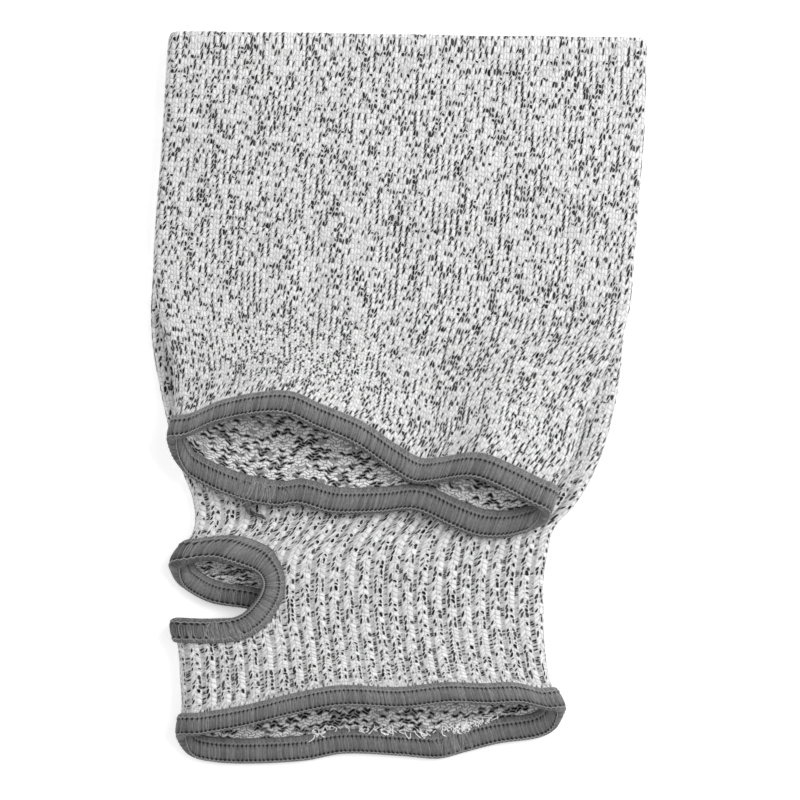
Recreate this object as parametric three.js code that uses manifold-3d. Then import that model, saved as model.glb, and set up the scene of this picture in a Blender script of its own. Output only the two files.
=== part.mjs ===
// A knitted cut resistant sleeve with a thumb hole, folded once across and lying on a table.
// Millimetres, +Z up. The hand leg lies on the table with its rim towards -Y, the fold is at
// the +Y end, and the arm leg is folded back on top, so both rims open towards -Y.
// The origin is the middle of the sleeve's box, on the table.
import * as THREE from 'three';
import { mergeVertices } from 'three/addons/utils/BufferGeometryUtils.js';
import Module from 'manifold-3d';

// Knitted tube, laid flat
const sleeveWidth = 128;
const wristWidth = 98.8;
const handRun = 183.6;
const armRun = 104.4;
const knitWall = 1.2;
const restGap = 1.8;
const layGap = 0.4;

// How the fold and the two rims slant: how much nearer to the table's -Y side the right end is
const foldDrop = 1.7;
const handSkew = -6.9;
const armSkew = 18.7;

// Rims: flat width, end rounding, how far the waves draw the edge, how high they lift it
const armRimWidth = 100.8;
const armRimRound = 4.5;
const armSway = 13.2;
const armLift = 5.2;
const armFlare = 40;
const handRimRound = 4;
const handSway = 10.4;
const handLift = 3.5;
const handFlare = 26;
const armSwell = 2.2;
const handSwell = 1.6;

// Ribbed wrist, and how far round the thumb hole its ribs are flat, in edging covers
const ribsPerWall = 25;
const ribDepth = 0.5;
const ribRun = 66;
const ribClear = 1.3;

// Overlocked edging: what it covers of the knit, its lip past the cut edge, its thread shell,
// its play off the knit's faces and off the cut edge, and more play where it rounds the fold
const edgingCover = 4.7;
const edgingLip = 1.3;
const edgingShell = 0.7;
const seatGap = 0.3;
const seatDepth = 0.5;
const foldPlay = 0.2;

// Thread tail of the arm edging's join: place along the rim's lower wall, length, thickness
const tailTurn = 0.21;
const tailLength = 8;
const tailThick = 1.7;

// Thumb hole, in the left fold of the hand leg: middle from the rim, length round, height
const thumbMiddle = 37.6;
const thumbReach = 27;
const thumbHeight = 20;

// Faceting: flats along each wall of a ring, round a rounded end, round the fold and round the
// thumb hole, where bendPace draws more of them to the bends
const rimSteps = 22;
const wallSteps = 18;
const insideSteps = 10;
const cornerSteps = 3;
const turnSteps = 5;
const thumbSteps = 44;
const bendPace = 6;
const cutterSteps = 14;
const ringNudge = 0.001;
const alongNudge = 0.05;

// Worked out from the sizes above
const clearHalf = knitWall / 2 + seatGap;
const edgingHalf = clearHalf + edgingShell;
const restRound = (restGap + knitWall) / 2;
const handFloor = knitWall / 2;
const armFloor = handFloor + 2 * restRound + knitWall + layGap;
const armRimFloor = 2 * edgingHalf + 2 * restRound + knitWall / 2 + 2 * layGap;
const turnRadius = (armFloor - handFloor) / 2;
const turnAxisZ = handFloor + restRound + turnRadius;
const armStart = handRun + Math.PI * turnRadius;
const sleeveLength = armStart + armRun;
const midWidth = sleeveWidth - knitWall;

// Hand leg, from the rim (at 0) to the fold (at 1). narrow: 0 sleeve width, 1 wrist width.
// drift: middle line, in half widths. left, right: end rounding, 0 lying flat, 1 as at the rim.
// rise: floor, 0 knit on the table, 1 carried by the edging, more where the thumb hole's
// edging is under it. swell: crown of the upper wall.
const handLeg = [
  { at: 0, narrow: 0.87, drift: -0.156, left: 1, right: 1, rise: 1, swell: 0 },
  { at: 0.04, narrow: 1, drift: -0.175, left: 0.85, right: 0.75, rise: 1, swell: 0.6 },
  { at: 0.08, narrow: 1.03, drift: -0.188, left: 0.66, right: 0.52, rise: 1.1, swell: 1 },
  { at: 0.12, narrow: 1.04, drift: -0.197, left: 0.62, right: 0.34, rise: 1.2, swell: 1 },
  { at: 0.155, narrow: 1, drift: -0.207, left: 0.74, right: 0.2, rise: 1.2, swell: 0.8 },
  { at: 0.2, narrow: 0.97, drift: -0.209, left: 0.88, right: 0.12, rise: 1.2, swell: 0.5 },
  { at: 0.245, narrow: 0.93, drift: -0.196, left: 0.84, right: 0.05, rise: 1.2, swell: 0.2 },
  { at: 0.265, narrow: 0.97, drift: -0.175, left: 0.58, right: 0.02, rise: 1.1, swell: 0.1 },
  { at: 0.285, narrow: 1, drift: -0.136, left: 0.3, right: 0, rise: 0.75, swell: 0 },
  { at: 0.31, narrow: 0.89, drift: -0.094, left: 0.1, right: 0, rise: 0.35, swell: 0 },
  { at: 0.345, narrow: 0.73, drift: -0.072, left: 0, right: 0, rise: 0.15, swell: 0 },
  { at: 0.39, narrow: 0.5, drift: -0.069, left: 0, right: 0, rise: 0, swell: 0 },
  { at: 0.44, narrow: 0.32, drift: -0.069, left: 0, right: 0, rise: 0, swell: 0 },
  { at: 0.5, narrow: 0.16, drift: -0.073, left: 0, right: 0, rise: 0, swell: 0 },
  { at: 0.57, narrow: 0.05, drift: -0.081, left: 0, right: 0, rise: 0, swell: 0 },
  { at: 0.64, narrow: 0, drift: -0.072, left: 0, right: 0, rise: 0, swell: 0 },
  { at: 0.78, narrow: 0.02, drift: -0.042, left: 0, right: 0, rise: 0, swell: 0 },
  { at: 1, narrow: 0, drift: 0, left: 0, right: 0, rise: 0, swell: 0 },
];

// Arm leg, from the fold (at 0) to the rim (at 1). narrow: 0 sleeve width, 1 arm rim width.
const armLeg = [
  { at: 0, narrow: 0, drift: 0, open: 0, rise: 0, swell: 0 },
  { at: 0.15, narrow: -0.02, drift: -0.013, open: 0, rise: 0, swell: 0.6 },
  { at: 0.3, narrow: -0.01, drift: -0.032, open: 0, rise: 0, swell: 1 },
  { at: 0.45, narrow: 0, drift: -0.052, open: 0, rise: 0, swell: 1 },
  { at: 0.6, narrow: 0.07, drift: -0.074, open: 0.03, rise: 0, swell: 0.9 },
  { at: 0.72, narrow: 0.4, drift: -0.108, open: 0.15, rise: 0.05, swell: 0.8 },
  { at: 0.82, narrow: 0.7, drift: -0.129, open: 0.35, rise: 0.35, swell: 0.6 },
  { at: 0.9, narrow: 0.83, drift: -0.145, open: 0.62, rise: 0.75, swell: 0.4 },
  { at: 0.95, narrow: 0.96, drift: -0.175, open: 0.85, rise: 0.95, swell: 0.2 },
  { at: 1, narrow: 1, drift: -0.201, open: 1, rise: 1, swell: 0 },
];

// Waves of a rim. turn: 0 the left end, 1 and -1 the right end, plus over the upper wall.
// reach: out past the straight rim, in sways. lift: up from it, in lifts.
const armRim = [
  { turn: -1, reach: 0, lift: 0 },
  { turn: -0.97, reach: 0.22, lift: 0 },
  { turn: -0.935, reach: 0.42, lift: 0 },
  { turn: -0.87, reach: 0.65, lift: 0 },
  { turn: -0.8, reach: 0.73, lift: 0 },
  { turn: -0.735, reach: 0.63, lift: 0.1 },
  { turn: -0.645, reach: 0.45, lift: 0.2 },
  { turn: -0.555, reach: 0.63, lift: 0.05 },
  { turn: -0.43, reach: 0.82, lift: 0 },
  { turn: -0.345, reach: 0.77, lift: 0.12 },
  { turn: -0.29, reach: 0.9, lift: 0 },
  { turn: -0.18, reach: 0.88, lift: 0 },
  { turn: -0.07, reach: 0.63, lift: 0 },
  { turn: -0.035, reach: 0.38, lift: 0 },
  { turn: 0, reach: 0, lift: 0 },
  { turn: 0.06, reach: -0.16, lift: 0 },
  { turn: 0.145, reach: -0.57, lift: 0.29 },
  { turn: 0.255, reach: -0.91, lift: 0.77 },
  { turn: 0.32, reach: -1, lift: 0.87 },
  { turn: 0.385, reach: -0.86, lift: 0.48 },
  { turn: 0.49, reach: -0.65, lift: -0.1 },
  { turn: 0.576, reach: -0.3, lift: -0.67 },
  { turn: 0.64, reach: -0.11, lift: -0.96 },
  { turn: 0.7, reach: -0.21, lift: -0.77 },
  { turn: 0.79, reach: -0.43, lift: 0 },
  { turn: 0.87, reach: -0.31, lift: 0 },
  { turn: 0.935, reach: -0.14, lift: -0.1 },
];
const handRim = [
  { turn: -1, reach: 0, lift: 0 },
  { turn: -0.96, reach: 0.46, lift: 0 },
  { turn: -0.92, reach: 0.64, lift: 0 },
  { turn: -0.82, reach: 0.72, lift: 0 },
  { turn: -0.74, reach: 0.87, lift: 0 },
  { turn: -0.67, reach: 1, lift: 0 },
  { turn: -0.576, reach: 0.87, lift: 0 },
  { turn: -0.43, reach: 0.71, lift: 0 },
  { turn: -0.33, reach: 0.82, lift: 0 },
  { turn: -0.18, reach: 0.79, lift: 0 },
  { turn: -0.087, reach: 0.66, lift: 0 },
  { turn: -0.04, reach: 0.46, lift: 0 },
  { turn: 0, reach: 0, lift: 0 },
  { turn: 0.078, reach: -0.09, lift: 0 },
  { turn: 0.187, reach: -0.22, lift: 0.14 },
  { turn: 0.309, reach: -0.46, lift: 0.71 },
  { turn: 0.428, reach: -0.6, lift: 1 },
  { turn: 0.576, reach: -0.44, lift: 0.86 },
  { turn: 0.7, reach: -0.48, lift: 0.86 },
  { turn: 0.795, reach: -0.37, lift: 0.57 },
  { turn: 0.872, reach: -0.33, lift: 0.29 },
  { turn: 0.94, reach: -0.12, lift: 0 },
];

// Soft dents and creases of the arm leg's upper wall. across: 0 left, 1 right. at: 0 fold,
// 1 rim. wide, long: half sizes, in sleeve widths. deep: in swells, and a crease is above 0.
const armDents = [
  { across: 0.33, at: 0.58, wide: 0.035, long: 0.13, deep: -0.3 },
  { across: 0.5, at: 0.6, wide: 0.04, long: 0.16, deep: -0.34 },
  { across: 0.42, at: 0.66, wide: 0.05, long: 0.14, deep: 0.25 },
  { across: 0.58, at: 0.72, wide: 0.045, long: 0.12, deep: 0.2 },
  { across: 0.16, at: 0.5, wide: 0.06, long: 0.12, deep: -0.25 },
  { across: 0.9, at: 0.66, wide: 0.05, long: 0.14, deep: -0.25 },
];

// Course of the arm edging's tail, in tail lengths from its top, and its share of thickness
const tailPath = [
  { x: 0, y: 0, z: 0, thick: 0.9 },
  { x: 0.08, y: -0.2, z: -0.03, thick: 1 },
  { x: 0.26, y: -0.35, z: -0.08, thick: 0.9 },
  { x: 0.48, y: -0.4, z: -0.13, thick: 0.7 },
  { x: 0.66, y: -0.52, z: -0.15, thick: 0.4 },
];

// Outline of the thumb hole's cut edge on the unrolled knit. round: from the left fold, in
// reaches, plus over the upper wall. up: from the hole's middle, in half heights.
const thumbHole = [
  { round: 0, up: 0.8 },
  { round: 0.38, up: 0.98 },
  { round: 0.67, up: 0.82 },
  { round: 0.92, up: 0.56 },
  { round: 1.01, up: 0.18 },
  { round: 0.93, up: -0.38 },
  { round: 0.7, up: -0.84 },
  { round: 0.42, up: -0.9 },
  { round: 0, up: -0.82 },
  { round: -0.42, up: -0.9 },
  { round: -0.8, up: -0.88 },
  { round: -0.95, up: -0.62 },
  { round: -0.82, up: -0.44 },
  { round: -0.46, up: -0.22 },
  { round: -0.18, up: 0.24 },
];

const lerp = THREE.MathUtils.lerp;
const ease = (x) => THREE.MathUtils.smoothstep(x, 0, 1);
const spread = (from, to, count) =>
  Array.from({ length: count }, (_, i) => lerp(from, to, i / count));

// A smooth curve through one column of a table. Where the key goes round, span is its period.
function curveThrough(rows, key, column, span = 0) {
  const last = rows.length - 1;
  const row = (i) => {
    if (!span) return rows[THREE.MathUtils.clamp(i, 0, last)];
    const n = rows.length;
    const laps = Math.floor(i / n);
    return { [key]: rows[i - laps * n][key] + laps * span, [column]: rows[i - laps * n][column] };
  };
  const slope = (i) => {
    const a = row(i - 1);
    const b = row(i + 1);
    return (b[column] - a[column]) / (b[key] - a[key]);
  };
  return (x) => {
    let i = 0;
    while (i < (span ? last : last - 1) && row(i + 1)[key] < x) i += 1;
    const a = row(i);
    const b = row(i + 1);
    const width = b[key] - a[key];
    const t = THREE.MathUtils.clamp((x - a[key]) / width, 0, 1);
    const bend = (2 * t - 3) * t * t;
    const startPull = (t - 2) * t * t + t;
    const endPull = (t - 1) * t * t;
    return a[column] * (1 + bend) - b[column] * bend
      + width * (startPull * slope(i) + endPull * slope(i + 1));
  };
}
const columns = (rows, key, names, span) =>
  Object.fromEntries(names.map((name) => [name, curveThrough(rows, key, name, span)]));
const hand = columns(handLeg, 'at', ['narrow', 'drift', 'left', 'right', 'rise', 'swell']);
const arm = columns(armLeg, 'at', ['narrow', 'drift', 'open', 'rise', 'swell']);
const armWave = columns(armRim, 'turn', ['reach', 'lift'], 2);
const handWave = columns(handRim, 'turn', ['reach', 'lift'], 2);

// The tube's section at a distance along it from the hand rim, at 0, to the arm rim
function sectionAt(along) {
  const onHand = along <= handRun;
  const onArm = along >= armStart;
  if (onHand) {
    const at = along / handRun;
    const width = lerp(midWidth, wristWidth - knitWall, hand.narrow(at));
    return {
      up: 1,
      at,
      width,
      middle: (hand.drift(at) * midWidth) / 2,
      leftRound: lerp(restRound, handRimRound, hand.left(at)),
      rightRound: lerp(restRound, handRimRound, hand.right(at)),
      floor: lerp(handFloor, edgingHalf, hand.rise(at)),
      swell: handSwell * hand.swell(at),
      down: handRun - along,
      drop: lerp(handSkew, foldDrop, at),
      wave: handWave,
      sway: handSway,
      lift: handLift,
      waviness: ease(1 - along / handFlare),
    };
  }
  const at = onArm ? (along - armStart) / armRun : 0;
  const round = lerp(restRound, armRimRound, arm.open(at));
  return {
    up: onArm ? -1 : 0,
    at,
    width: lerp(midWidth, armRimWidth - knitWall, arm.narrow(at)),
    middle: (arm.drift(at) * midWidth) / 2,
    leftRound: round,
    rightRound: round,
    floor: lerp(armFloor, armRimFloor, arm.rise(at)),
    swell: armSwell * arm.swell(at),
    down: onArm ? along - armStart : 0,
    drop: lerp(foldDrop, armSkew, at),
    wave: armWave,
    sway: armSway,
    lift: armLift,
    waviness: ease(1 - (sleeveLength - along) / armFlare),
  };
}

// Share of half a ring that each rounded end takes, for ring positions from 0 to 1
const endShare = 0.1;
const flatShare = 0.5 - 2 * endShare;

// Length round half a section, from the left fold to a ring position between 0 and 0.5
function lengthTo(p, s) {
  const flat = s.width - s.leftRound - s.rightRound;
  const leftArc = (Math.min(p / endShare, 1) * Math.PI * s.leftRound) / 2;
  const onFlat = THREE.MathUtils.clamp((p - endShare) / flatShare, 0, 1) * flat;
  const rightArc = (Math.max((p - 0.5 + endShare) / endShare, 0) * Math.PI * s.rightRound) / 2;
  return leftArc + onFlat + rightArc;
}

// The ring position that lies a distance round from the left fold, minus over the lower wall
function ringAt(round, s) {
  const flat = s.width - s.leftRound - s.rightRound;
  const leftArc = (Math.PI * s.leftRound) / 2;
  const length = Math.abs(round);
  const p = length < leftArc
    ? (length / leftArc) * endShare
    : endShare + ((length - leftArc) / flat) * flatShare;
  return round < 0 ? 1 - p : p;
}

// Depth of the arm leg's dents at a place of its upper wall
function dentAt(across, at) {
  return armDents.reduce((sum, d) => {
    const x = ((across - d.across) * midWidth) / (d.wide * sleeveWidth);
    const y = ((at - d.at) * armRun) / (d.long * sleeveWidth);
    return sum + armSwell * d.deep * Math.exp(-x * x - y * y);
  }, 0);
}

// A point of the knit's middle surface. ring: 0 left fold, 0.5 right fold, first over the wall
// that faces up on the hand leg, which is the fold's inner wall.
function middlePoint(ring, along) {
  const s = sectionAt(along);
  const lap = ring - Math.floor(ring);
  const side = lap <= 0.5 ? 1 : -1;
  const p = lap <= 0.5 ? lap : 1 - lap;
  const leftAngle = (Math.min(p / endShare, 1) * Math.PI) / 2;
  const rightAngle = (Math.min((0.5 - p) / endShare, 1) * Math.PI) / 2;
  const flat = s.width - s.leftRound - s.rightRound;
  const onFlat = THREE.MathUtils.clamp((p - endShare) / flatShare, 0, 1);
  const x = s.leftRound * (1 - Math.cos(leftAngle)) + onFlat * flat
    + s.rightRound * Math.cos(rightAngle);
  const across = x / s.width;
  const round = lerp(s.leftRound, s.rightRound, ease(onFlat));
  const bulge = Math.min(Math.sin(leftAngle), Math.sin(rightAngle)) * side;
  const place = new THREE.Vector3(s.middle - s.width / 2 + x, -s.down - s.drop * across, 0);

  if (s.up === 0) {
    const angle = (along - handRun) / turnRadius;
    const radius = turnRadius - bulge * restRound;
    place.y += radius * Math.sin(angle);
    place.z = turnAxisZ - radius * Math.cos(angle);
    return place;
  }
  const raised = bulge * s.up;
  const crown = Math.max(raised, 0) * (1 - (2 * across - 1) ** 4) * s.swell;
  const turn = (side * s.up * lengthTo(p, s)) / lengthTo(0.5, s);
  place.y -= s.waviness * s.sway * s.wave.reach(turn);
  place.z = s.floor + round * (1 + raised) + crown + s.waviness * s.lift * s.wave.lift(turn);
  if (s.up < 0 && raised > 0) place.z += dentAt(across, s.at) * raised * (1 - s.waviness);
  return place;
}

// The middle surface's outward direction, from two short steps over it
function outward(ring, along) {
  const ahead = Math.min(along + alongNudge, sleeveLength);
  const behind = Math.max(along - alongNudge, 0);
  const round = middlePoint(ring + ringNudge, along).sub(middlePoint(ring - ringNudge, along));
  const length = middlePoint(ring, ahead).sub(middlePoint(ring, behind));
  return round.cross(length).normalize();
}

// A point off the knit's middle surface, by a distance outwards
const skin = (ring, along, out) =>
  middlePoint(ring, along).addScaledVector(outward(ring, along), out);

// Places where a ring has its corners, with a number of flats along each wall
function ringStops(steps) {
  const half = [
    ...spread(0, endShare, cornerSteps),
    ...spread(endShare, endShare + flatShare, steps),
    ...spread(endShare + flatShare, 0.5, cornerSteps),
  ];
  return [...half, ...half.map((p) => p + 0.5)];
}
const rimStops = ringStops(rimSteps);
const wallStops = ringStops(wallSteps);
const insideStops = ringStops(insideSteps);
const ribStops = ringStops(2 * ribsPerWall);

// Distances along the tube where it has a row of corners, closest near the rims and the hole
function rowStops() {
  const thumbFrom = thumbMiddle - thumbHeight / 2 - edgingCover;
  const thumbTo = thumbMiddle + thumbHeight / 2 + edgingCover;
  const seam = sleeveLength - edgingCover;
  return [
    0,
    ...spread(edgingCover, thumbFrom, 3),
    ...spread(thumbFrom, thumbTo, 8),
    ...spread(thumbTo, ribRun, 2),
    ...spread(ribRun, handRun / 2, 3),
    ...spread(handRun / 2, handRun, 3),
    ...spread(handRun, armStart, turnSteps),
    ...spread(armStart, sleeveLength - armFlare, 4),
    ...spread(sleeveLength - armFlare, seam, 4),
    seam,
    sleeveLength,
  ];
}

// Height of the wrist's ribs at a ring position: a crest and a valley for each rib. They run
// out at both ends of the ribbing and under the thumb hole's edging.
function ribAt(ring, along) {
  const half = ring < 0.5 ? ring : ring - 0.5;
  const onFlat = (half - endShare) / flatShare;
  if (onFlat < 0 || onFlat > 1) return 0;
  const round = lengthTo(Math.min(ring, 1 - ring), sectionAt(along));
  const across = round / (thumbReach + ribClear * edgingCover);
  const upright = (along - thumbMiddle) / (thumbHeight / 2 + ribClear * edgingCover);
  const beyondThumb = thumbHeight * (Math.hypot(across ** 2, upright ** 2) - 1);
  const wave = Math.cos(2 * Math.PI * ribsPerWall * onFlat);
  return [along - edgingCover, ribRun - along, beyondThumb].reduce(
    (height, away) => height * ease(away / edgingCover),
    (ribDepth / 2) * wave,
  );
}

// Triangles between two rings whose corners needn't match, each a list of {ring, point}
function zip(faces, near, far) {
  const place = (list, i) => list[i % list.length].ring + Math.floor(i / list.length);
  let i = 0;
  let j = 0;
  while (i < near.length || j < far.length) {
    const nearFirst = j >= far.length
      || (i < near.length && place(near, i + 1) <= place(far, j + 1) + 1e-9);
    const a = near[i % near.length].point;
    const b = far[j % far.length].point;
    if (nearFirst) {
      faces.push(a, near[(i + 1) % near.length].point, b);
      i += 1;
    } else {
      faces.push(a, far[(j + 1) % far.length].point, b);
      j += 1;
    }
  }
}

// Triangles that close the end of a strip of rings, turned over at its first ring
function addCap(faces, ring, turned) {
  for (let i = 1; i < ring.length - 1; i += 1) {
    const near = ring[turned ? i + 1 : i].point;
    faces.push(ring[0].point, near, ring[turned ? i : i + 1].point);
  }
}

function geometryOf(faces) {
  const positions = new Float32Array(faces.length * 3);
  faces.forEach((point, i) => point.toArray(positions, i * 3));
  const geometry = new THREE.BufferGeometry();
  geometry.setAttribute('position', new THREE.BufferAttribute(positions, 3));
  return geometry;
}

// The knitted tube: outer rings from rim to rim, ribbed at the wrist, and inner rings back
function knitGeometry() {
  const rows = rowStops();
  const atRim = (along) => Math.min(along, sleeveLength - along) < 1.01 * edgingCover;
  const outer = rows.map((along) => {
    const ribbed = along < ribRun && !atRim(along);
    const stops = ribbed ? ribStops : atRim(along) ? rimStops : wallStops;
    return stops.map((ring) => ({
      ring,
      point: skin(ring, along, knitWall / 2 + (ribbed ? ribAt(ring, along) : 0)),
    }));
  });
  const inner = rows.map((along) =>
    (atRim(along) ? rimStops : insideStops).map((ring) => ({
      ring,
      point: skin(ring, along, -knitWall / 2),
    })));
  const loop = [...outer, ...inner.reverse()];
  const faces = [];
  loop.forEach((ring, i) => zip(faces, ring, loop[(i + 1) % loop.length]));
  return geometryOf(faces);
}

// Place on the tube at a distance into the knit, square off a corner of the thumb hole's edge
function squareOff(edge, i) {
  const before = edge[(i + edge.length - 1) % edge.length];
  const after = edge[(i + 1) % edge.length];
  const dx = after.round - before.round;
  const dy = after.along - before.along;
  const size = Math.hypot(dx, dy);
  return (into) => {
    const round = edge[i].round - (dy / size) * into;
    const along = edge[i].along + (dx / size) * into;
    return { ring: ringAt(round, sectionAt(along)), along };
  };
}

// Cut edge of the thumb hole as places on the tube, clockwise seen from outside. Its corners
// are closer where the edging bends round the sleeve's fold.
function thumbEdge() {
  const outline = new THREE.CatmullRomCurve3(
    thumbHole.map((row) => new THREE.Vector3(row.round, row.up, 0)),
    true,
    'centripetal',
  );
  const trail = outline.getSpacedPoints(thumbSteps * 8).slice(1).map((p) => ({
    round: p.x * thumbReach,
    along: thumbMiddle + (p.y * thumbHeight) / 2,
  }));
  const marks = trail.map((_, i) => [0, edgingCover].map((into) => {
    const { ring, along } = squareOff(trail, i)(into);
    return { at: middlePoint(ring, along), out: outward(ring, along) };
  }));
  let pace = 0;
  const paces = marks.map((mark, i) => {
    const last = marks[(i + marks.length - 1) % marks.length];
    mark.forEach(({ at, out }, side) => {
      pace += at.distanceTo(last[side].at) + bendPace * out.angleTo(last[side].out);
    });
    return pace;
  });
  return spread(0, pace, thumbSteps).map((goal) =>
    trail[paces.findIndex((reached) => reached > goal)]);
}

// A curved plate that fills the thumb hole and sticks out of both faces of the knit. It grows
// out of a place in the hole's lower part, from which all of its edge is in sight.
function thumbCutter() {
  const edge = thumbEdge();
  const deep = knitWall + seatGap;
  const root = thumbMiddle - 0.3 * thumbHeight;
  const shares = [...spread(0.001, 1, cutterSteps), 1];
  const layer = (out) => shares.map((share) =>
    edge.map((e, i) => {
      const along = lerp(root, e.along, share);
      return {
        ring: i / edge.length,
        point: skin(ringAt(e.round * share, sectionAt(along)), along, out),
      };
    }));
  const faces = [];
  const loop = [...layer(deep), ...layer(-deep).reverse()];
  loop.slice(1).forEach((ring, i) => zip(faces, loop[i], ring));
  addCap(faces, loop[0], true);
  addCap(faces, loop[loop.length - 1], false);
  return geometryOf(faces);
}

// Outline of the edging's section: how far into the knit from its cut edge, and how far
// outwards. It is a thread shell round the edge, open on the knit's side, that thins a little
// to its seam and rounds to half at its lip. Bends are the places on its long sides where it
// can follow the knit, and play widens it.
function edgingOutline(bends, play) {
  const seatOut = clearHalf + play;
  const topOut = edgingHalf + play;
  const outside = [
    { into: edgingCover, out: seatOut },
    { into: edgingCover - edgingShell, out: topOut * 0.95 },
    ...bends.map((into) => ({ into, out: topOut })),
    { into: 0, out: topOut },
    { into: -edgingLip - play, out: topOut * 0.5 },
  ];
  const seat = [
    { into: -seatDepth - play, out: seatOut },
    ...[...bends].reverse().map((into) => ({ into, out: seatOut })),
  ];
  const mirrored = (side) => [...side].reverse().map(({ into, out }) => ({ into, out: -out }));
  return [...outside, ...mirrored(outside), ...mirrored(seat), ...seat];
}

// An edging: its section carried round a closed edge, clockwise seen from outside the knit.
// A station gives the place on the tube at a distance into the knit from its cut edge.
function edgingGeometry(stations, bends = [], play = 0) {
  const outline = edgingOutline(bends, play);
  const sections = stations.map((placeAt) => {
    const edge = placeAt(0);
    const inner = placeAt(edgingLip);
    const lean = middlePoint(inner.ring, inner.along).sub(middlePoint(edge.ring, edge.along));
    return outline.map(({ into, out }) => {
      const place = placeAt(Math.max(into, 0));
      const past = Math.min(into, 0) / edgingLip;
      return skin(place.ring, place.along, out).addScaledVector(lean, past);
    });
  });
  const faces = [];
  sections.forEach((section, i) => {
    const next = sections[(i + 1) % sections.length];
    section.forEach((point, j) => {
      const k = (j + 1) % section.length;
      faces.push(point, next[j], next[k], point, next[k], section[k]);
    });
  });
  return geometryOf(faces);
}
const handStations = rimStops.map((ring) => (into) => ({ ring, along: into }));
const armStations = rimStops.map((ring) => (into) => ({ ring, along: sleeveLength - into }));
const thumbStations = thumbEdge().map((_, i, edge) => squareOff(edge, i));

// The tail of the arm edging's join: a thread chain that droops off the lip and tapers out
function tailGeometry() {
  const rim = sectionAt(sleeveLength);
  const ring = ringAt(tailTurn * lengthTo(0.5, rim), rim);
  const start = middlePoint(ring, sleeveLength);
  start.y -= edgingLip + 3 * seatGap;
  const path = new THREE.CatmullRomCurve3(
    tailPath.map((row) => new THREE.Vector3(row.x, row.y, row.z)
      .multiplyScalar(tailLength).add(start)),
  );
  const frames = path.computeFrenetFrames(tailPath.length - 1, false);
  const rings = tailPath.map((row, i) => ringStops(0).map((_, j, all) => {
    const angle = (j / all.length) * 2 * Math.PI;
    const radius = (row.thick * tailThick) / 2;
    return {
      ring: j / all.length,
      point: path.getPoint(i / (tailPath.length - 1))
        .addScaledVector(frames.normals[i], radius * Math.cos(angle))
        .addScaledVector(frames.binormals[i], radius * Math.sin(angle)),
    };
  }));
  const faces = [];
  rings.slice(1).forEach((next, i) => zip(faces, rings[i], next));
  addCap(faces, rings[0], true);
  addCap(faces, rings[rings.length - 1], false);
  return geometryOf(faces);
}

const wasm = await Module();
wasm.setup();

function solidOf(geometry) {
  const merged = mergeVertices(geometry, 1e-4);
  return new wasm.Manifold(new wasm.Mesh({
    numProp: 3,
    vertProperties: merged.attributes.position.array,
    triVerts: new Uint32Array(merged.index.array),
  }));
}

function geometryFrom(solid) {
  const mesh = solid.getMesh();
  const geometry = new THREE.BufferGeometry();
  geometry.setAttribute('position', new THREE.BufferAttribute(mesh.vertProperties, 3));
  geometry.setIndex(new THREE.BufferAttribute(mesh.triVerts, 1));
  return geometry;
}

const knitCloth = new THREE.MeshStandardMaterial({ color: 0xcdcdcd, roughness: 0.92 });
const edgingThread = new THREE.MeshStandardMaterial({ color: 0x77787a, roughness: 0.85 });

const sleeve = new THREE.Group();
function addPiece(name, geometry, material) {
  const piece = new THREE.Mesh(geometry, material);
  piece.name = name;
  sleeve.add(piece);
}
const knitSolid = solidOf(knitGeometry()).subtract(solidOf(thumbCutter()));
addPiece('knit_sleeve', geometryFrom(knitSolid), knitCloth);
const thumbBends = [(2 * edgingCover) / 3, edgingCover / 3];
addPiece('hand_edging', edgingGeometry(handStations.reverse()), edgingThread);
addPiece('arm_edging', edgingGeometry(armStations), edgingThread);
addPiece(
  'thumb_edging',
  edgingGeometry(thumbStations.reverse(), thumbBends, foldPlay),
  edgingThread,
);
addPiece('arm_edging_tail', tailGeometry(), edgingThread);

// The origin goes to the middle of the box, on the table
const box = new THREE.Box3().setFromObject(sleeve);
const centre = box.getCenter(new THREE.Vector3());
sleeve.position.set(-centre.x, -centre.y, -box.min.z);

export default sleeve;
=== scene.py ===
import bisect
import functools
import math
import random
from types import SimpleNamespace

import bmesh
import bpy
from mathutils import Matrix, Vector, noise


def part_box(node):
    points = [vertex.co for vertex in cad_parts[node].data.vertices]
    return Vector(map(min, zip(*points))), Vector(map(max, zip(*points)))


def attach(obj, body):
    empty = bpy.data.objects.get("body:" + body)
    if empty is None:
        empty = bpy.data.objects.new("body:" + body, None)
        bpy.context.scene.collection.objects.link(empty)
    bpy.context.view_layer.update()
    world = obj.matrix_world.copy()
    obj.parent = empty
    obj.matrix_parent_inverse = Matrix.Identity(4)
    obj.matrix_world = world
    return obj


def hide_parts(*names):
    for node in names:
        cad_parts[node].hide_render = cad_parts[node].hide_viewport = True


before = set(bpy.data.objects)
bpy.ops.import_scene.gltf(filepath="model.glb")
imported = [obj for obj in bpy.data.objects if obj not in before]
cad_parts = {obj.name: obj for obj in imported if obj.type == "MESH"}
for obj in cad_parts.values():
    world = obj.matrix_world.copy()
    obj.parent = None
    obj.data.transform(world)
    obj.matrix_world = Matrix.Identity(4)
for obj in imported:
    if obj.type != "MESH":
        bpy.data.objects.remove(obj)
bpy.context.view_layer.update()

# The camera looks straight down, as the photograph was taken, through a long lens about a metre up.
# The photograph is 213 mm wide at the sleeve.
VIEW_WIDTH = 0.21333
VIEW_MIDDLE = Vector((0.0004, -0.00053, 0.009))
CAMERA_AWAY = 1.0
SENSOR = 0.036
camera_data = bpy.data.cameras.new("camera")
camera_data.sensor_width = SENSOR * 1000
camera_data.lens = SENSOR * 1000 * CAMERA_AWAY / VIEW_WIDTH
camera_data.clip_start = 0.05
camera = bpy.data.objects.new("camera", camera_data)
camera.location = VIEW_MIDDLE + Vector((0, 0, CAMERA_AWAY))
bpy.context.collection.objects.link(camera)
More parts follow.
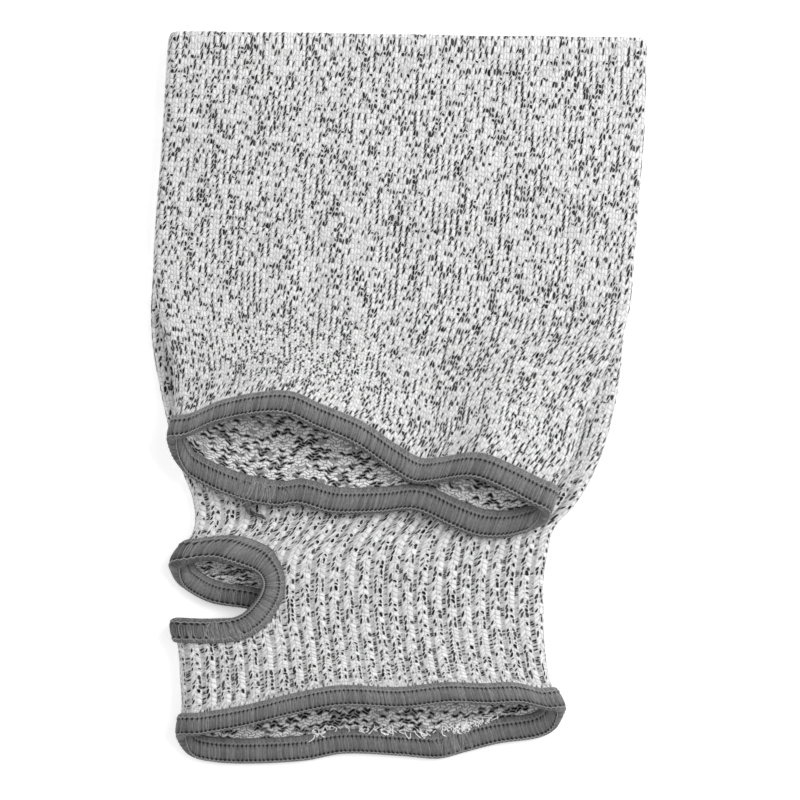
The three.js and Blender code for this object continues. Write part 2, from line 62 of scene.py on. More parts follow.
bpy.context.scene.camera = camera

# The knitted tube. A seamless tube knitted from light yarn plied with a dark cut-proof strand,
# about 300 mm long and 128 mm wide when flat, narrowed to a ribbed wrist. It is pressed flat, folded
# once across so that the arm end lies on the hand end, and cut open for the thumb in one fold.
SLEEVE_WIDTH = 0.128
WRIST_WIDTH = 0.0988
HAND_RUN = 0.1836
ARM_RUN = 0.1044
KNIT_WALL = 0.0012
# Room inside the tube where it lies pressed flat, and between its two legs
REST_GAP = 0.0018
LAY_GAP = 0.0004
# How much further towards -Y the right end lies than the left one, at the fold and the rims
FOLD_DROP = 0.0017
HAND_SKEW = -0.0069
ARM_SKEW = 0.0187
# The rims: rounding of their ends, reach and lift of their waves, and the run that they fade over
ARM_RIM_WIDTH = 0.1008
ARM_RIM_ROUND = 0.0045
ARM_SWAY = 0.0132
ARM_LIFT = 0.0052
ARM_FLARE = 0.040
HAND_RIM_ROUND = 0.004
HAND_SWAY = 0.0104
HAND_LIFT = 0.0035
HAND_FLARE = 0.026
# How high the upper walls swell over the middle
ARM_SWELL = 0.0022
HAND_SWELL = 0.0016
# What the edgings cover of the knit, how thick they lie on it and their play over it
EDGING_COVER = 0.0047
EDGING_SHELL = 0.0007
SEAT_GAP = 0.0003
# Worked out from these: half thicknesses, floors of the legs and rims, and the fold between them
CLEAR_HALF = KNIT_WALL / 2 + SEAT_GAP
EDGING_HALF = CLEAR_HALF + EDGING_SHELL
REST_ROUND = (REST_GAP + KNIT_WALL) / 2
HAND_FLOOR = KNIT_WALL / 2
ARM_FLOOR = HAND_FLOOR + 2 * REST_ROUND + KNIT_WALL + LAY_GAP
ARM_RIM_FLOOR = 2 * EDGING_HALF + 2 * REST_ROUND + KNIT_WALL / 2 + 2 * LAY_GAP
TURN_RADIUS = (ARM_FLOOR - HAND_FLOOR) / 2
TURN_AXIS_Z = HAND_FLOOR + REST_ROUND + TURN_RADIUS
ARM_START = HAND_RUN + math.pi * TURN_RADIUS
SLEEVE_LENGTH = ARM_START + ARM_RUN
MID_WIDTH = SLEEVE_WIDTH - KNIT_WALL

# Hand leg from its rim (0) to the fold (1): place, narrowing to the wrist width, drift of the
# middle line in half widths, rounding of the left and right ends, rise of the floor, swell
HAND_LEG = [
    (0, 0.87, -0.156, 1, 1, 1, 0),
    (0.04, 1, -0.175, 0.85, 0.75, 1, 0.6),
    (0.08, 1.03, -0.188, 0.66, 0.52, 1.1, 1),
    (0.12, 1.04, -0.197, 0.62, 0.34, 1.2, 1),
    (0.155, 1, -0.207, 0.74, 0.2, 1.2, 0.8),
    (0.2, 0.97, -0.209, 0.88, 0.12, 1.2, 0.5),
    (0.245, 0.93, -0.196, 0.84, 0.05, 1.2, 0.2),
    (0.265, 0.97, -0.175, 0.58, 0.02, 1.1, 0.1),
    (0.285, 1, -0.136, 0.3, 0, 0.75, 0),
    (0.31, 0.89, -0.094, 0.1, 0, 0.35, 0),
    (0.345, 0.73, -0.072, 0, 0, 0.15, 0),
    (0.39, 0.5, -0.069, 0, 0, 0, 0),
    (0.44, 0.32, -0.069, 0, 0, 0, 0),
    (0.5, 0.16, -0.073, 0, 0, 0, 0),
    (0.57, 0.05, -0.081, 0, 0, 0, 0),
    (0.64, 0, -0.072, 0, 0, 0, 0),
    (0.78, 0.02, -0.042, 0, 0, 0, 0),
    (1, 0, 0, 0, 0, 0, 0),
]
# Arm leg from the fold (0) to its rim (1): place, narrowing to the rim width, drift, opening of
# both ends, rise, swell
ARM_LEG = [
    (0, 0, 0, 0, 0, 0),
    (0.15, -0.02, -0.013, 0, 0, 0.6),
    (0.3, -0.01, -0.032, 0, 0, 1),
    (0.45, 0, -0.052, 0, 0, 1),
    (0.6, 0.07, -0.074, 0.03, 0, 0.9),
    (0.72, 0.4, -0.108, 0.15, 0.05, 0.8),
    (0.82, 0.7, -0.129, 0.35, 0.35, 0.6),
    (0.9, 0.83, -0.145, 0.62, 0.75, 0.4),
    (0.95, 0.96, -0.175, 0.85, 0.95, 0.2),
    (1, 1, -0.201, 1, 1, 0),
]
# Waves of the rims: turn (0 the left end, 1 and -1 the right end, plus over the upper wall),
# reach out past the straight rim in sways, lift in lifts
ARM_RIM = [
    (-1, 0, 0), (-0.97, 0.22, 0), (-0.935, 0.42, 0), (-0.87, 0.65, 0), (-0.8, 0.73, 0),
    (-0.735, 0.63, 0.1), (-0.645, 0.45, 0.2), (-0.555, 0.63, 0.05), (-0.43, 0.82, 0),
    (-0.345, 0.77, 0.12), (-0.29, 0.9, 0), (-0.18, 0.88, 0), (-0.07, 0.63, 0),
    (-0.035, 0.38, 0), (0, 0, 0), (0.06, -0.16, 0), (0.145, -0.57, 0.29),
    (0.255, -0.91, 0.77), (0.32, -1, 0.87), (0.385, -0.86, 0.48), (0.49, -0.65, -0.1),
    (0.576, -0.3, -0.67), (0.64, -0.11, -0.96), (0.7, -0.21, -0.77), (0.79, -0.43, 0),
    (0.87, -0.31, 0), (0.935, -0.14, -0.1),
]
HAND_RIM = [
    (-1, 0, 0), (-0.96, 0.46, 0), (-0.92, 0.64, 0), (-0.82, 0.72, 0), (-0.74, 0.87, 0),
    (-0.67, 1, 0), (-0.576, 0.87, 0), (-0.43, 0.71, 0), (-0.33, 0.82, 0), (-0.18, 0.79, 0),
    (-0.087, 0.66, 0), (-0.04, 0.46, 0), (0, 0, 0), (0.078, -0.09, 0), (0.187, -0.22, 0.14),
    (0.309, -0.46, 0.71), (0.428, -0.6, 1), (0.576, -0.44, 0.86), (0.7, -0.48, 0.86),
    (0.795, -0.37, 0.57), (0.872, -0.33, 0.29), (0.94, -0.12, 0),
]
# Soft dents of the arm leg's upper wall: across (0 left, 1 right), at (0 fold, 1 rim), half width
# and half length in sleeve widths, depth in swells (a crease is above 0)
ARM_DENTS = [
    (0.33, 0.58, 0.035, 0.13, -0.3),
    (0.5, 0.6, 0.04, 0.16, -0.34),
    (0.42, 0.66, 0.05, 0.14, 0.25),
    (0.58, 0.72, 0.045, 0.12, 0.2),
    (0.16, 0.5, 0.06, 0.12, -0.25),
    (0.9, 0.66, 0.05, 0.14, -0.25),
]


def lerp(a, b, share):
    return a + (b - a) * share


def ease(x):
    x = min(max(x, 0), 1)
    return x * x * (3 - 2 * x)


def curve_through(rows, column, span=0):
    """A smooth curve through one column of a table; span is its period where it goes round."""
    if span:
        ends = [(row[0] - span, *row[1:]) for row in rows[-2:]]
        rows = ends + rows + [(row[0] + span, *row[1:]) for row in rows[:2]]
    else:
        rows = [rows[0]] + rows + [rows[-1]]
    keys = [row[0] for row in rows]
    values = [row[column] for row in rows]
    slopes = [
        (values[i + 1] - values[i - 1]) / (keys[i + 1] - keys[i - 1])
        for i in range(1, len(rows) - 1)
    ]
    keys, values = keys[1:-1], values[1:-1]

    def value_at(x):
        i = min(max(bisect.bisect_left(keys, x) - 1, 0), len(keys) - 2)
        width = keys[i + 1] - keys[i]
        t = min(max((x - keys[i]) / width, 0), 1)
        bend = (2 * t - 3) * t * t
        start_pull = (t - 2) * t * t + t
        end_pull = (t - 1) * t * t
        return (
            values[i] * (1 + bend)
            - values[i + 1] * bend
            + width * (start_pull * slopes[i] + end_pull * slopes[i + 1])
        )

    return value_at


hand_narrow, hand_drift, hand_left, hand_right, hand_rise, hand_swell = (
    curve_through(HAND_LEG, column) for column in range(1, 7)
)
arm_narrow, arm_drift, arm_open, arm_rise, arm_swell = (
    curve_through(ARM_LEG, column) for column in range(1, 6)
)
arm_reach, arm_lift = (curve_through(ARM_RIM, column, 2) for column in (1, 2))
hand_reach, hand_lift = (curve_through(HAND_RIM, column, 2) for column in (1, 2))


@functools.lru_cache(maxsize=None)
def section_at(along):
    """The tube's section at a distance along it from the hand rim, 0, to the arm rim."""
    if along <= HAND_RUN:
        at = along / HAND_RUN
        return SimpleNamespace(
            up=1,
            at=at,
            width=lerp(MID_WIDTH, WRIST_WIDTH - KNIT_WALL, hand_narrow(at)),
            middle=hand_drift(at) * MID_WIDTH / 2,
            left=lerp(REST_ROUND, HAND_RIM_ROUND, hand_left(at)),
            right=lerp(REST_ROUND, HAND_RIM_ROUND, hand_right(at)),
            floor=lerp(HAND_FLOOR, EDGING_HALF, hand_rise(at)),
            swell=HAND_SWELL * hand_swell(at),
            down=HAND_RUN - along,
            drop=lerp(HAND_SKEW, FOLD_DROP, at),
            reach=hand_reach,
            raising=hand_lift,
            sway=HAND_SWAY,
            lift=HAND_LIFT,
            waviness=ease(1 - along / HAND_FLARE),
        )
    on_arm = along >= ARM_START
    at = (along - ARM_START) / ARM_RUN if on_arm else 0
    end_round = lerp(REST_ROUND, ARM_RIM_ROUND, arm_open(at))
    return SimpleNamespace(
        up=-1 if on_arm else 0,
        at=at,
        width=lerp(MID_WIDTH, ARM_RIM_WIDTH - KNIT_WALL, arm_narrow(at)),
        middle=arm_drift(at) * MID_WIDTH / 2,
        left=end_round,
        right=end_round,
        floor=lerp(ARM_FLOOR, ARM_RIM_FLOOR, arm_rise(at)),
        swell=ARM_SWELL * arm_swell(at),
        down=along - ARM_START if on_arm else 0,
        drop=lerp(FOLD_DROP, ARM_SKEW, at),
        reach=arm_reach,
        raising=arm_lift,
        sway=ARM_SWAY,
        lift=ARM_LIFT,
        waviness=ease(1 - (SLEEVE_LENGTH - along) / ARM_FLARE),
    )


END_SHARE = 0.1
FLAT_SHARE = 0.5 - 2 * END_SHARE


def length_to(p, s):
    """Length round half a section, from the left fold to a ring position between 0 and 0.5."""
    left_arc = min(p / END_SHARE, 1) * math.pi * s.left / 2
    on_flat = min(max((p - END_SHARE) / FLAT_SHARE, 0), 1) * (s.width - s.left - s.right)
    right_arc = max((p - 0.5 + END_SHARE) / END_SHARE, 0) * math.pi * s.right / 2
    return left_arc + on_flat + right_arc


def ring_at(away, s):
    """The ring position at a distance round from the left fold, minus over the lower wall."""
    left_arc = math.pi * s.left / 2
    length = abs(away)
    if length < left_arc:
        p = length / left_arc * END_SHARE
    else:
        p = END_SHARE + (length - left_arc) / (s.width - s.left - s.right) * FLAT_SHARE
    return 1 - p if away < 0 else p


def dent_at(across, at):
    depth = 0
    for dent_across, dent_place, wide, long, deep in ARM_DENTS:
        x = (across - dent_across) * MID_WIDTH / (wide * SLEEVE_WIDTH)
        y = (at - dent_place) * ARM_RUN / (long * SLEEVE_WIDTH)
        depth += ARM_SWELL * deep * math.exp(-x * x - y * y)
    return depth


def middle_point(ring, along):
    """A point of the knit's middle surface. ring: 0 left fold, 0.5 right fold, first over the
    wall that faces up on the hand leg, which is the fold's inner wall."""
    s = section_at(along)
    lap = ring - math.floor(ring)
    side = 1 if lap <= 0.5 else -1
    p = lap if lap <= 0.5 else 1 - lap
    left_angle = min(p / END_SHARE, 1) * math.pi / 2
    right_angle = min((0.5 - p) / END_SHARE, 1) * math.pi / 2
    on_flat = min(max((p - END_SHARE) / FLAT_SHARE, 0), 1)
    x = (
        s.left * (1 - math.cos(left_angle))
        + on_flat * (s.width - s.left - s.right)
        + s.right * math.cos(right_angle)
    )
    across = x / s.width
    bulge = min(math.sin(left_angle), math.sin(right_angle)) * side
    place = Vector((s.middle - s.width / 2 + x, -s.down - s.drop * across, 0))
    if s.up == 0:
        angle = (along - HAND_RUN) / TURN_RADIUS
        radius = TURN_RADIUS - bulge * REST_ROUND
        place.y += radius * math.sin(angle)
        place.z = TURN_AXIS_Z - radius * math.cos(angle)
        return place
    raised = bulge * s.up
    crown = max(raised, 0) * (1 - (2 * across - 1) ** 4) * s.swell
    turn = side * s.up * length_to(p, s) / length_to(0.5, s)
    place.y -= s.waviness * s.sway * s.reach(turn)
    place.z = s.floor + lerp(s.left, s.right, ease(on_flat)) * (1 + raised) + crown
    place.z += s.waviness * s.lift * s.raising(turn)
    if s.up < 0 and raised > 0:
        place.z += dent_at(across, s.at) * raised * (1 - s.waviness)
    return place


# The knit's mesh: three wales to a rib, two steps to a wale, and three steps to each quarter turn
# round a side fold
RIBS_PER_WALL = 25
STEPS_PER_RIB = 6
END_STEPS = 3
WALL_STEPS = RIBS_PER_WALL * STEPS_PER_RIB
WALES_PER_HALF = WALL_STEPS / 2 + END_STEPS
WALES_PER_RIB = STEPS_PER_RIB / 2
FIRST_CREST = END_STEPS / 2
COURSE = 0.0013
RIB_DEPTH = 0.0005
RIB_RUN = 0.066
WALE_RELIEF = 0.00005
UNEVEN = 0.00025
UNEVEN_SIZE = 0.016
THUMB_MIDDLE = 0.0376
THUMB_REACH = 0.027
THUMB_HEIGHT = 0.020
# How far the ribs' relief and their stitches keep off the thumb hole, in widths of its edging,
# and the length over which the stitches change
RIB_CLEAR = 1.3
STITCH_CLEAR = 0.6
STITCH_FADE = 0.0022
# Rows of the mesh along the tube: where a run of them starts and stops, and their number
ROW_RUNS = [
    (0, RIB_RUN, 50),
    (RIB_RUN, HAND_RUN, 44),
    (HAND_RUN, ARM_START, 8),
    (ARM_START, SLEEVE_LENGTH - ARM_FLARE, 24),
    (SLEEVE_LENGTH - ARM_FLARE, SLEEVE_LENGTH, 20),
]
# Outline of the thumb hole's cut edge on the unrolled knit: round from the left fold in reaches,
# plus over the upper wall, and up from the hole's middle in half heights
THUMB_HOLE = [
    (0, 0.8), (0.38, 0.98), (0.67, 0.82), (0.92, 0.56), (1.01, 0.18), (0.93, -0.38),
    (0.7, -0.84), (0.42, -0.9), (0, -0.82), (-0.42, -0.9), (-0.8, -0.88), (-0.95, -0.62),
    (-0.82, -0.44), (-0.46, -0.22), (-0.18, 0.24),
]
THUMB_EDGE_POINTS = 360
POINTS_PER_BEND = 40
# On the unrolled knit only a face that crosses the right fold, where it is cut, looks this wide
SEAM_FACE = 0.01


def spread(start, stop, count):
    return [lerp(start, stop, i / count) for i in range(count)]


half_ring = (
    spread(0, END_SHARE, END_STEPS)
    + spread(END_SHARE, END_SHARE + FLAT_SHARE, WALL_STEPS)
    + spread(END_SHARE + FLAT_SHARE, 0.5, END_STEPS)
)
ring_stops = half_ring + [p + 0.5 for p in half_ring]
row_stops = [along for run in ROW_RUNS for along in spread(*run)] + [SLEEVE_LENGTH]


def wales_to(ring, along):
    """Stitches round the tube from the left fold to a ring position, evenly spaced."""
    s = section_at(along)
    share = length_to(min(ring, 1 - ring), s) / length_to(0.5, s)
    return WALES_PER_HALF * (share if ring <= 0.5 else 2 - share)


def rib_share(ring, along, clear, fade):
    """How much of the wrist's ribbing there is at a place: 1 in the ribbing, 0 off it."""
    away = length_to(min(ring, 1 - ring), section_at(along))
    across = away / (THUMB_REACH + clear * EDGING_COVER)
    upright = (along - THUMB_MIDDLE) / (THUMB_HEIGHT / 2 + clear * EDGING_COVER)
    beyond_thumb = THUMB_HEIGHT * (math.hypot(across**2, upright**2) - 1)
    share = 1
    for distance in (along - EDGING_COVER, RIB_RUN - along, beyond_thumb):
        share *= ease(distance / fade)
    return share


def pairs_round(points):
    """Each point of a closed line with the next one."""
    return zip(points, points[1:] + points[:1])


def lengths_round(points):
    """Lengths along a closed line to each of its points, and last the whole way round."""
    lengths = [0]
    for a, b in pairs_round(points):
        lengths.append(lengths[-1] + (b - a).length)
    return lengths


def even_points(points, steps):
    """Points at even distances round a closed line."""
    lengths = lengths_round(points)
    evened = []
    for i in range(steps):
        goal = lengths[-1] * i / steps
        k = bisect.bisect_right(lengths, goal) - 1
        share = (goal - lengths[k]) / (lengths[k + 1] - lengths[k])
        evened.append(points[k].lerp(points[(k + 1) % len(points)], share))
    return evened


def closed_curve(points, steps):
    """Evenly spaced points of a centripetal curve through a closed list of points."""
    count = len(points)
    dense = []
    for i in range(count):
        p0, p1, p2, p3 = (points[(i + k - 1) % count] for k in range(4))
        gaps = [math.sqrt((b - a).length) for a, b in ((p0, p1), (p1, p2), (p2, p3))]
        start = (p1 - p0) / gaps[0] - (p2 - p0) / (gaps[0] + gaps[1]) + (p2 - p1) / gaps[1]
        end = (p2 - p1) / gaps[1] - (p3 - p1) / (gaps[1] + gaps[2]) + (p3 - p2) / gaps[2]
        start *= gaps[1]
        end *= gaps[1]
        for k in range(POINTS_PER_BEND):
            t = k / POINTS_PER_BEND
            dense.append(
                p1
                + start * t
                + (3 * (p2 - p1) - 2 * start - end) * t**2
                + (2 * (p1 - p2) + start + end) * t**3
            )
    return even_points(dense, steps)


thumb_edge = [
    Vector((p.x * THUMB_REACH, THUMB_MIDDLE + p.y * THUMB_HEIGHT / 2))
    for p in closed_curve([Vector(row) for row in THUMB_HOLE], THUMB_EDGE_POINTS)
]


def unrolled(ring, along):
    """A place on the tube as its distance round from the left fold and along from the rim."""
    away = length_to(min(ring, 1 - ring), section_at(along))
    return Vector((away if ring < 0.5 else -away, along))


def in_thumb_hole(place):
    inside = False
    for a, b in pairs_round(thumb_edge):
        if (a.y > place.y) != (b.y > place.y):
            if place.x < a.x + (b.x - a.x) * (place.y - a.y) / (b.y - a.y):
                inside = not inside
    return inside


def near_thumb_hole(place):
    reach = THUMB_REACH + 2 * EDGING_COVER
    rise = THUMB_HEIGHT / 2 + 2 * EDGING_COVER
    return abs(place.x) < reach and abs(place.y - THUMB_MIDDLE) < rise


def cut_thumb_hole(sheet, places):
    """Takes the faces in the hole away and draws the edge that they leave to its outline."""
    cut = []
    for face in sheet.faces:
        corners = [unrolled(*places[vert]) for vert in face.verts]
        middle = sum(corners, Vector((0, 0))) / len(corners)
        width = max(corner.x for corner in corners) - min(corner.x for corner in corners)
        if width < SEAM_FACE and near_thumb_hole(middle) and in_thumb_hole(middle):
            cut.append(face)
    bmesh.ops.delete(sheet, geom=cut, context="FACES")
    for edge in sheet.edges:
        if not edge.is_boundary:
            continue
        for vert in edge.verts:
            place = unrolled(*places[vert])
            if near_thumb_hole(place):
                on_edge = min(thumb_edge, key=lambda p: (p - place).length)
                ring = ring_at(on_edge.x, section_at(on_edge.y))
                vert.co = middle_point(ring, on_edge.y)


def face_outwards(sheet, places):
    """Turns the faces so that the hand leg's upper wall, the first half of a row, faces up."""
    sheet.normal_update()
    upwards = 0
    for face in sheet.faces:
        ring, along = places[face.verts[0]]
        if ring < 0.5 and along < HAND_RUN:
            upwards += face.normal.z
    if upwards < 0:
        bmesh.ops.reverse_faces(sheet, faces=sheet.faces)
        sheet.normal_update()


def raise_relief(sheet, verts, places):
    """Ribs, wales and a little unevenness, square off the surface."""
    round_count = len(ring_stops)
    moved = []
    for index, vert in enumerate(verts):
        if not vert.is_valid:
            continue
        step = index % round_count % (round_count // 2) - END_STEPS
        ribbed = rib_share(*places[vert], RIB_CLEAR, EDGING_COVER)
        past_crest = wales_to(*places[vert]) - FIRST_CREST
        wave = math.cos(2 * math.pi * past_crest / WALES_PER_RIB)
        on_wall = 1 if 0 <= step <= WALL_STEPS else 0
        lift = RIB_DEPTH / 2 * wave * ribbed * on_wall
        lift += WALE_RELIEF * (1 if step % 2 else -1) * (1 - ribbed)
        lift += UNEVEN * noise.noise(vert.co / UNEVEN_SIZE)
        moved.append((vert, vert.co + vert.normal * lift))
    for vert, place in moved:
        vert.co = place


def knit_surface():
    """The tube's middle surface with its stitch count as its UV map and its ribs as a layer."""
    sheet = bmesh.new()
    stitches = sheet.loops.layers.uv.new("stitches")
    ribs = sheet.verts.layers.float.new("ribs")
    round_count = len(ring_stops)
    verts = []
    places = {}
    for along in row_stops:
        for ring in ring_stops:
            vert = sheet.verts.new(middle_point(ring, along))
            vert[ribs] = rib_share(ring, along, STITCH_CLEAR, STITCH_FADE)
            places[vert] = (ring, along)
            verts.append(vert)
    for row in range(len(row_stops) - 1):
        for step in range(round_count):
            corners = [(step, row), (step + 1, row), (step + 1, row + 1), (step, row + 1)]
            face = sheet.faces.new(
                [verts[r * round_count + s % round_count] for s, r in corners]
            )
            face.smooth = True
            for loop, (s, r) in zip(face.loops, corners):
                once_round = s == round_count
                wale = 2 * WALES_PER_HALF if once_round else wales_to(ring_stops[s], row_stops[r])
                loop[stitches].uv = (wale, row_stops[r] / COURSE)
    cut_thumb_hole(sheet, places)
    face_outwards(sheet, places)
    raise_relief(sheet, verts, places)
    mesh = bpy.data.meshes.new("knit_sleeve_cloth")
    sheet.to_mesh(mesh)
    sheet.free()
    return mesh


def grey(level):
    """A neutral colour from its 0 to 255 level as a screen shows it."""
    share = level / 255
    linear = share / 12.92 if share <= 0.04045 else ((share + 0.055) / 1.055) ** 2.4
    return (linear, linear, linear, 1)


def feed(tree, sockets, values):
    """Gives sockets their values in order, each a number or another output."""
    for socket, value in zip(sockets, values):
        if isinstance(value, bpy.types.NodeSocket):
            tree.links.new(value, socket)
        elif value is not None:
            socket.default_value = value


def add(tree, kind, *values, **settings):
    """A node with its settings, and with values for its first inputs."""
    node = tree.nodes.new(kind)
    for name, value in settings.items():
        setattr(node, name, value)
    feed(tree, node.inputs, values)
    return node


def calc(tree, operation, *values):
    """One value from others, worked through in order."""
    result = values[0]
    for value in values[1:] or (None,):
        result = add(tree, "ShaderNodeMath", result, value, operation=operation).outputs[0]
    return result


def plus(tree, base, value, factor):
    """A base and so many times a value."""
    return calc(tree, "ADD", base, calc(tree, "MULTIPLY", value, factor))


def mix(tree, share, first, second):
    return plus(tree, first, calc(tree, "SUBTRACT", second, first), share)


def about_zero(tree, value, span):
    """A 0 to 1 value turned into an offset either way."""
    return calc(tree, "MULTIPLY", calc(tree, "SUBTRACT", value, 0.5), span)


def ramp(tree, value, start, stop, low=0.0, high=1.0):
    """A smooth step of a value between two limits."""
    limits = (start, stop, low, high)
    step = add(tree, "ShaderNodeMapRange", value, *limits, interpolation_type="SMOOTHSTEP")
    return step.outputs[0]


def blend_colours(tree, share, first, second, mode="MIX"):
    node = add(tree, "ShaderNodeMix", data_type="RGBA", blend_type=mode)
    colours = [socket for socket in node.inputs if socket.type == "RGBA"]
    feed(tree, [node.inputs[0]] + colours, (share, first, second))
    return node.outputs[2]


def noise_at(tree, across, along, seed, scale, detail=1.0):
    """Smooth noise over the stitches, from 0 to 1 about 0.5."""
    place = add(tree, "ShaderNodeCombineXYZ", across, along, seed).outputs[0]
    return add(tree, "ShaderNodeTexNoise", place, None, scale, detail).outputs[0]


def new_group(name, inputs, outputs):
    tree = bpy.data.node_groups.new(name, "ShaderNodeTree")
    for socket in inputs:
        tree.interface.new_socket(socket, in_out="INPUT", socket_type="NodeSocketFloat")
    for socket in outputs:
        tree.interface.new_socket(socket, in_out="OUTPUT", socket_type="NodeSocketFloat")
    return tree, tree.nodes.new("NodeGroupInput"), tree.nodes.new("NodeGroupOutput")


# The legs of a face stitch: how far they wander in courses and how round they are across and
# along. The dark strand's speck on a leg in shares of the leg, and the shift in the stitches'
# count that gives its own random draw
LEG_DRIFT = 1.1
LEG_DRIFT_SCALE = 0.9
LEG_BOW = 3.6
LEG_TAPER = 3.0
SPECK_LEAST_WIDTH = 0.3
SPECK_LEAST_LENGTH = 0.25
SPECK_GROWTH = 0.26
SPECK_SHIFT = 0.34
SPECK_TEAR = 1.6
SPECK_TEAR_SCALE = 1.7
SPECK_EDGE = (1.25, 0.8)
SPECK_STRENGTH = 0.9
SPECK_DRAW = (7.3, 3.1, 11.7)
# Patches of the knit with more or fewer specks, stretched along the tube: the stretch is the
# share of the course count that they follow, and the span how far they change the specks' share
PATCH_STRETCH = 0.45
PATCH_SCALE = 0.55
PATCH_SPAN = 0.9


def stitch_legs():
    """Both slanted legs of each face stitch, with the dark strand showing on some of them."""
    inputs = ("Wale", "Course", "Rise", "Tilt", "Dark left", "Dark right", "Speck size", "Seed")
    tree, given, made = new_group("stitch legs", inputs, ("Height", "Dark", "Tone"))
    wale, course, rise, tilt, dark_left, dark_right, speck_size, seed = given.outputs[:8]
    legs = calc(tree, "MULTIPLY", wale, 2)
    leg = calc(tree, "FLOOR", legs)
    across = calc(tree, "FRACT", legs)
    half = calc(tree, "MULTIPLY", calc(tree, "PINGPONG", wale, 0.5), 2)
    drift = about_zero(tree, noise_at(tree, wale, course, 3.0, LEG_DRIFT_SCALE), LEG_DRIFT)
    risen = calc(tree, "MULTIPLY", half, rise)
    lean = calc(tree, "ADD", risen, calc(tree, "MULTIPLY", across, tilt), drift)
    slanted = calc(tree, "SUBTRACT", course, lean)
    row = calc(tree, "FLOOR", slanted)
    up = calc(tree, "FRACT", slanted)

    cell = add(tree, "ShaderNodeCombineXYZ", leg, row, seed).outputs[0]
    chance = add(tree, "ShaderNodeTexWhiteNoise", cell, noise_dimensions="3D").outputs[0]
    shifted = add(tree, "ShaderNodeVectorMath", cell, SPECK_DRAW, operation="ADD").outputs[0]
    shape = add(tree, "ShaderNodeTexWhiteNoise", shifted, noise_dimensions="3D").outputs[1]
    wide, long, shift = add(tree, "ShaderNodeSeparateXYZ", shape).outputs[:3]

    off_middle = calc(tree, "SUBTRACT", across, 0.5)
    off_row = calc(tree, "SUBTRACT", up, 0.5)
    bow = calc(tree, "MULTIPLY", off_middle, off_middle, LEG_BOW)
    arch = calc(tree, "SQRT", calc(tree, "MAXIMUM", calc(tree, "SUBTRACT", 1.0, bow), 0))
    taper = calc(tree, "MULTIPLY", off_row, off_row, LEG_TAPER)
    height = calc(tree, "MULTIPLY", arch, calc(tree, "SUBTRACT", 1.0, taper))

    patch_place = calc(tree, "MULTIPLY", course, PATCH_STRETCH)
    patches = noise_at(tree, wale, patch_place, 8.0, PATCH_SCALE, 2.0)
    is_right = calc(tree, "FLOORED_MODULO", leg, 2)
    share = mix(tree, is_right, dark_left, dark_right)
    threshold = calc(tree, "ADD", share, about_zero(tree, patches, PATCH_SPAN))
    shown = ramp(tree, calc(tree, "SUBTRACT", threshold, chance), -0.03, 0.06)
    width = plus(tree, SPECK_LEAST_WIDTH, wide, SPECK_GROWTH)
    length = plus(tree, SPECK_LEAST_LENGTH, long, SPECK_GROWTH)
    off_side = calc(tree, "ADD", off_middle, about_zero(tree, shift, SPECK_SHIFT))
    x = calc(tree, "DIVIDE", off_side, calc(tree, "MULTIPLY", width, speck_size))
    y = calc(tree, "DIVIDE", off_row, length)
    torn = noise_at(tree, legs, calc(tree, "MULTIPLY", course, 1.5), 5.0, SPECK_TEAR_SCALE, 2.0)
    off_speck = calc(tree, "ADD", calc(tree, "MULTIPLY", x, x), calc(tree, "MULTIPLY", y, y))
    off_speck = calc(tree, "ADD", off_speck, about_zero(tree, torn, SPECK_TEAR))
    strength = plus(tree, SPECK_STRENGTH, shift, 1 - SPECK_STRENGTH)
    dark = calc(tree, "MULTIPLY", ramp(tree, off_speck, *SPECK_EDGE), shown, strength)
    feed(tree, made.inputs, (height, dark, wide))
    return tree


# The loops of the reverse: strokes to a course and to a wale, their shift from row to row, and
# how far they wander and swing in strokes. Their patches are stretched round the tube
STROKES_PER_COURSE = 2.3
STROKES_PER_WALE = 0.72
STROKE_SHIFT = 0.37
STROKE_DRIFT = 2.6
STROKE_DRIFT_SCALE = 0.55
STROKE_SWING = 0.3
REVERSE_PATCH_STRETCH = 0.5
REVERSE_PATCH_SCALE = 0.6
REVERSE_PATCH_SPAN = 0.8


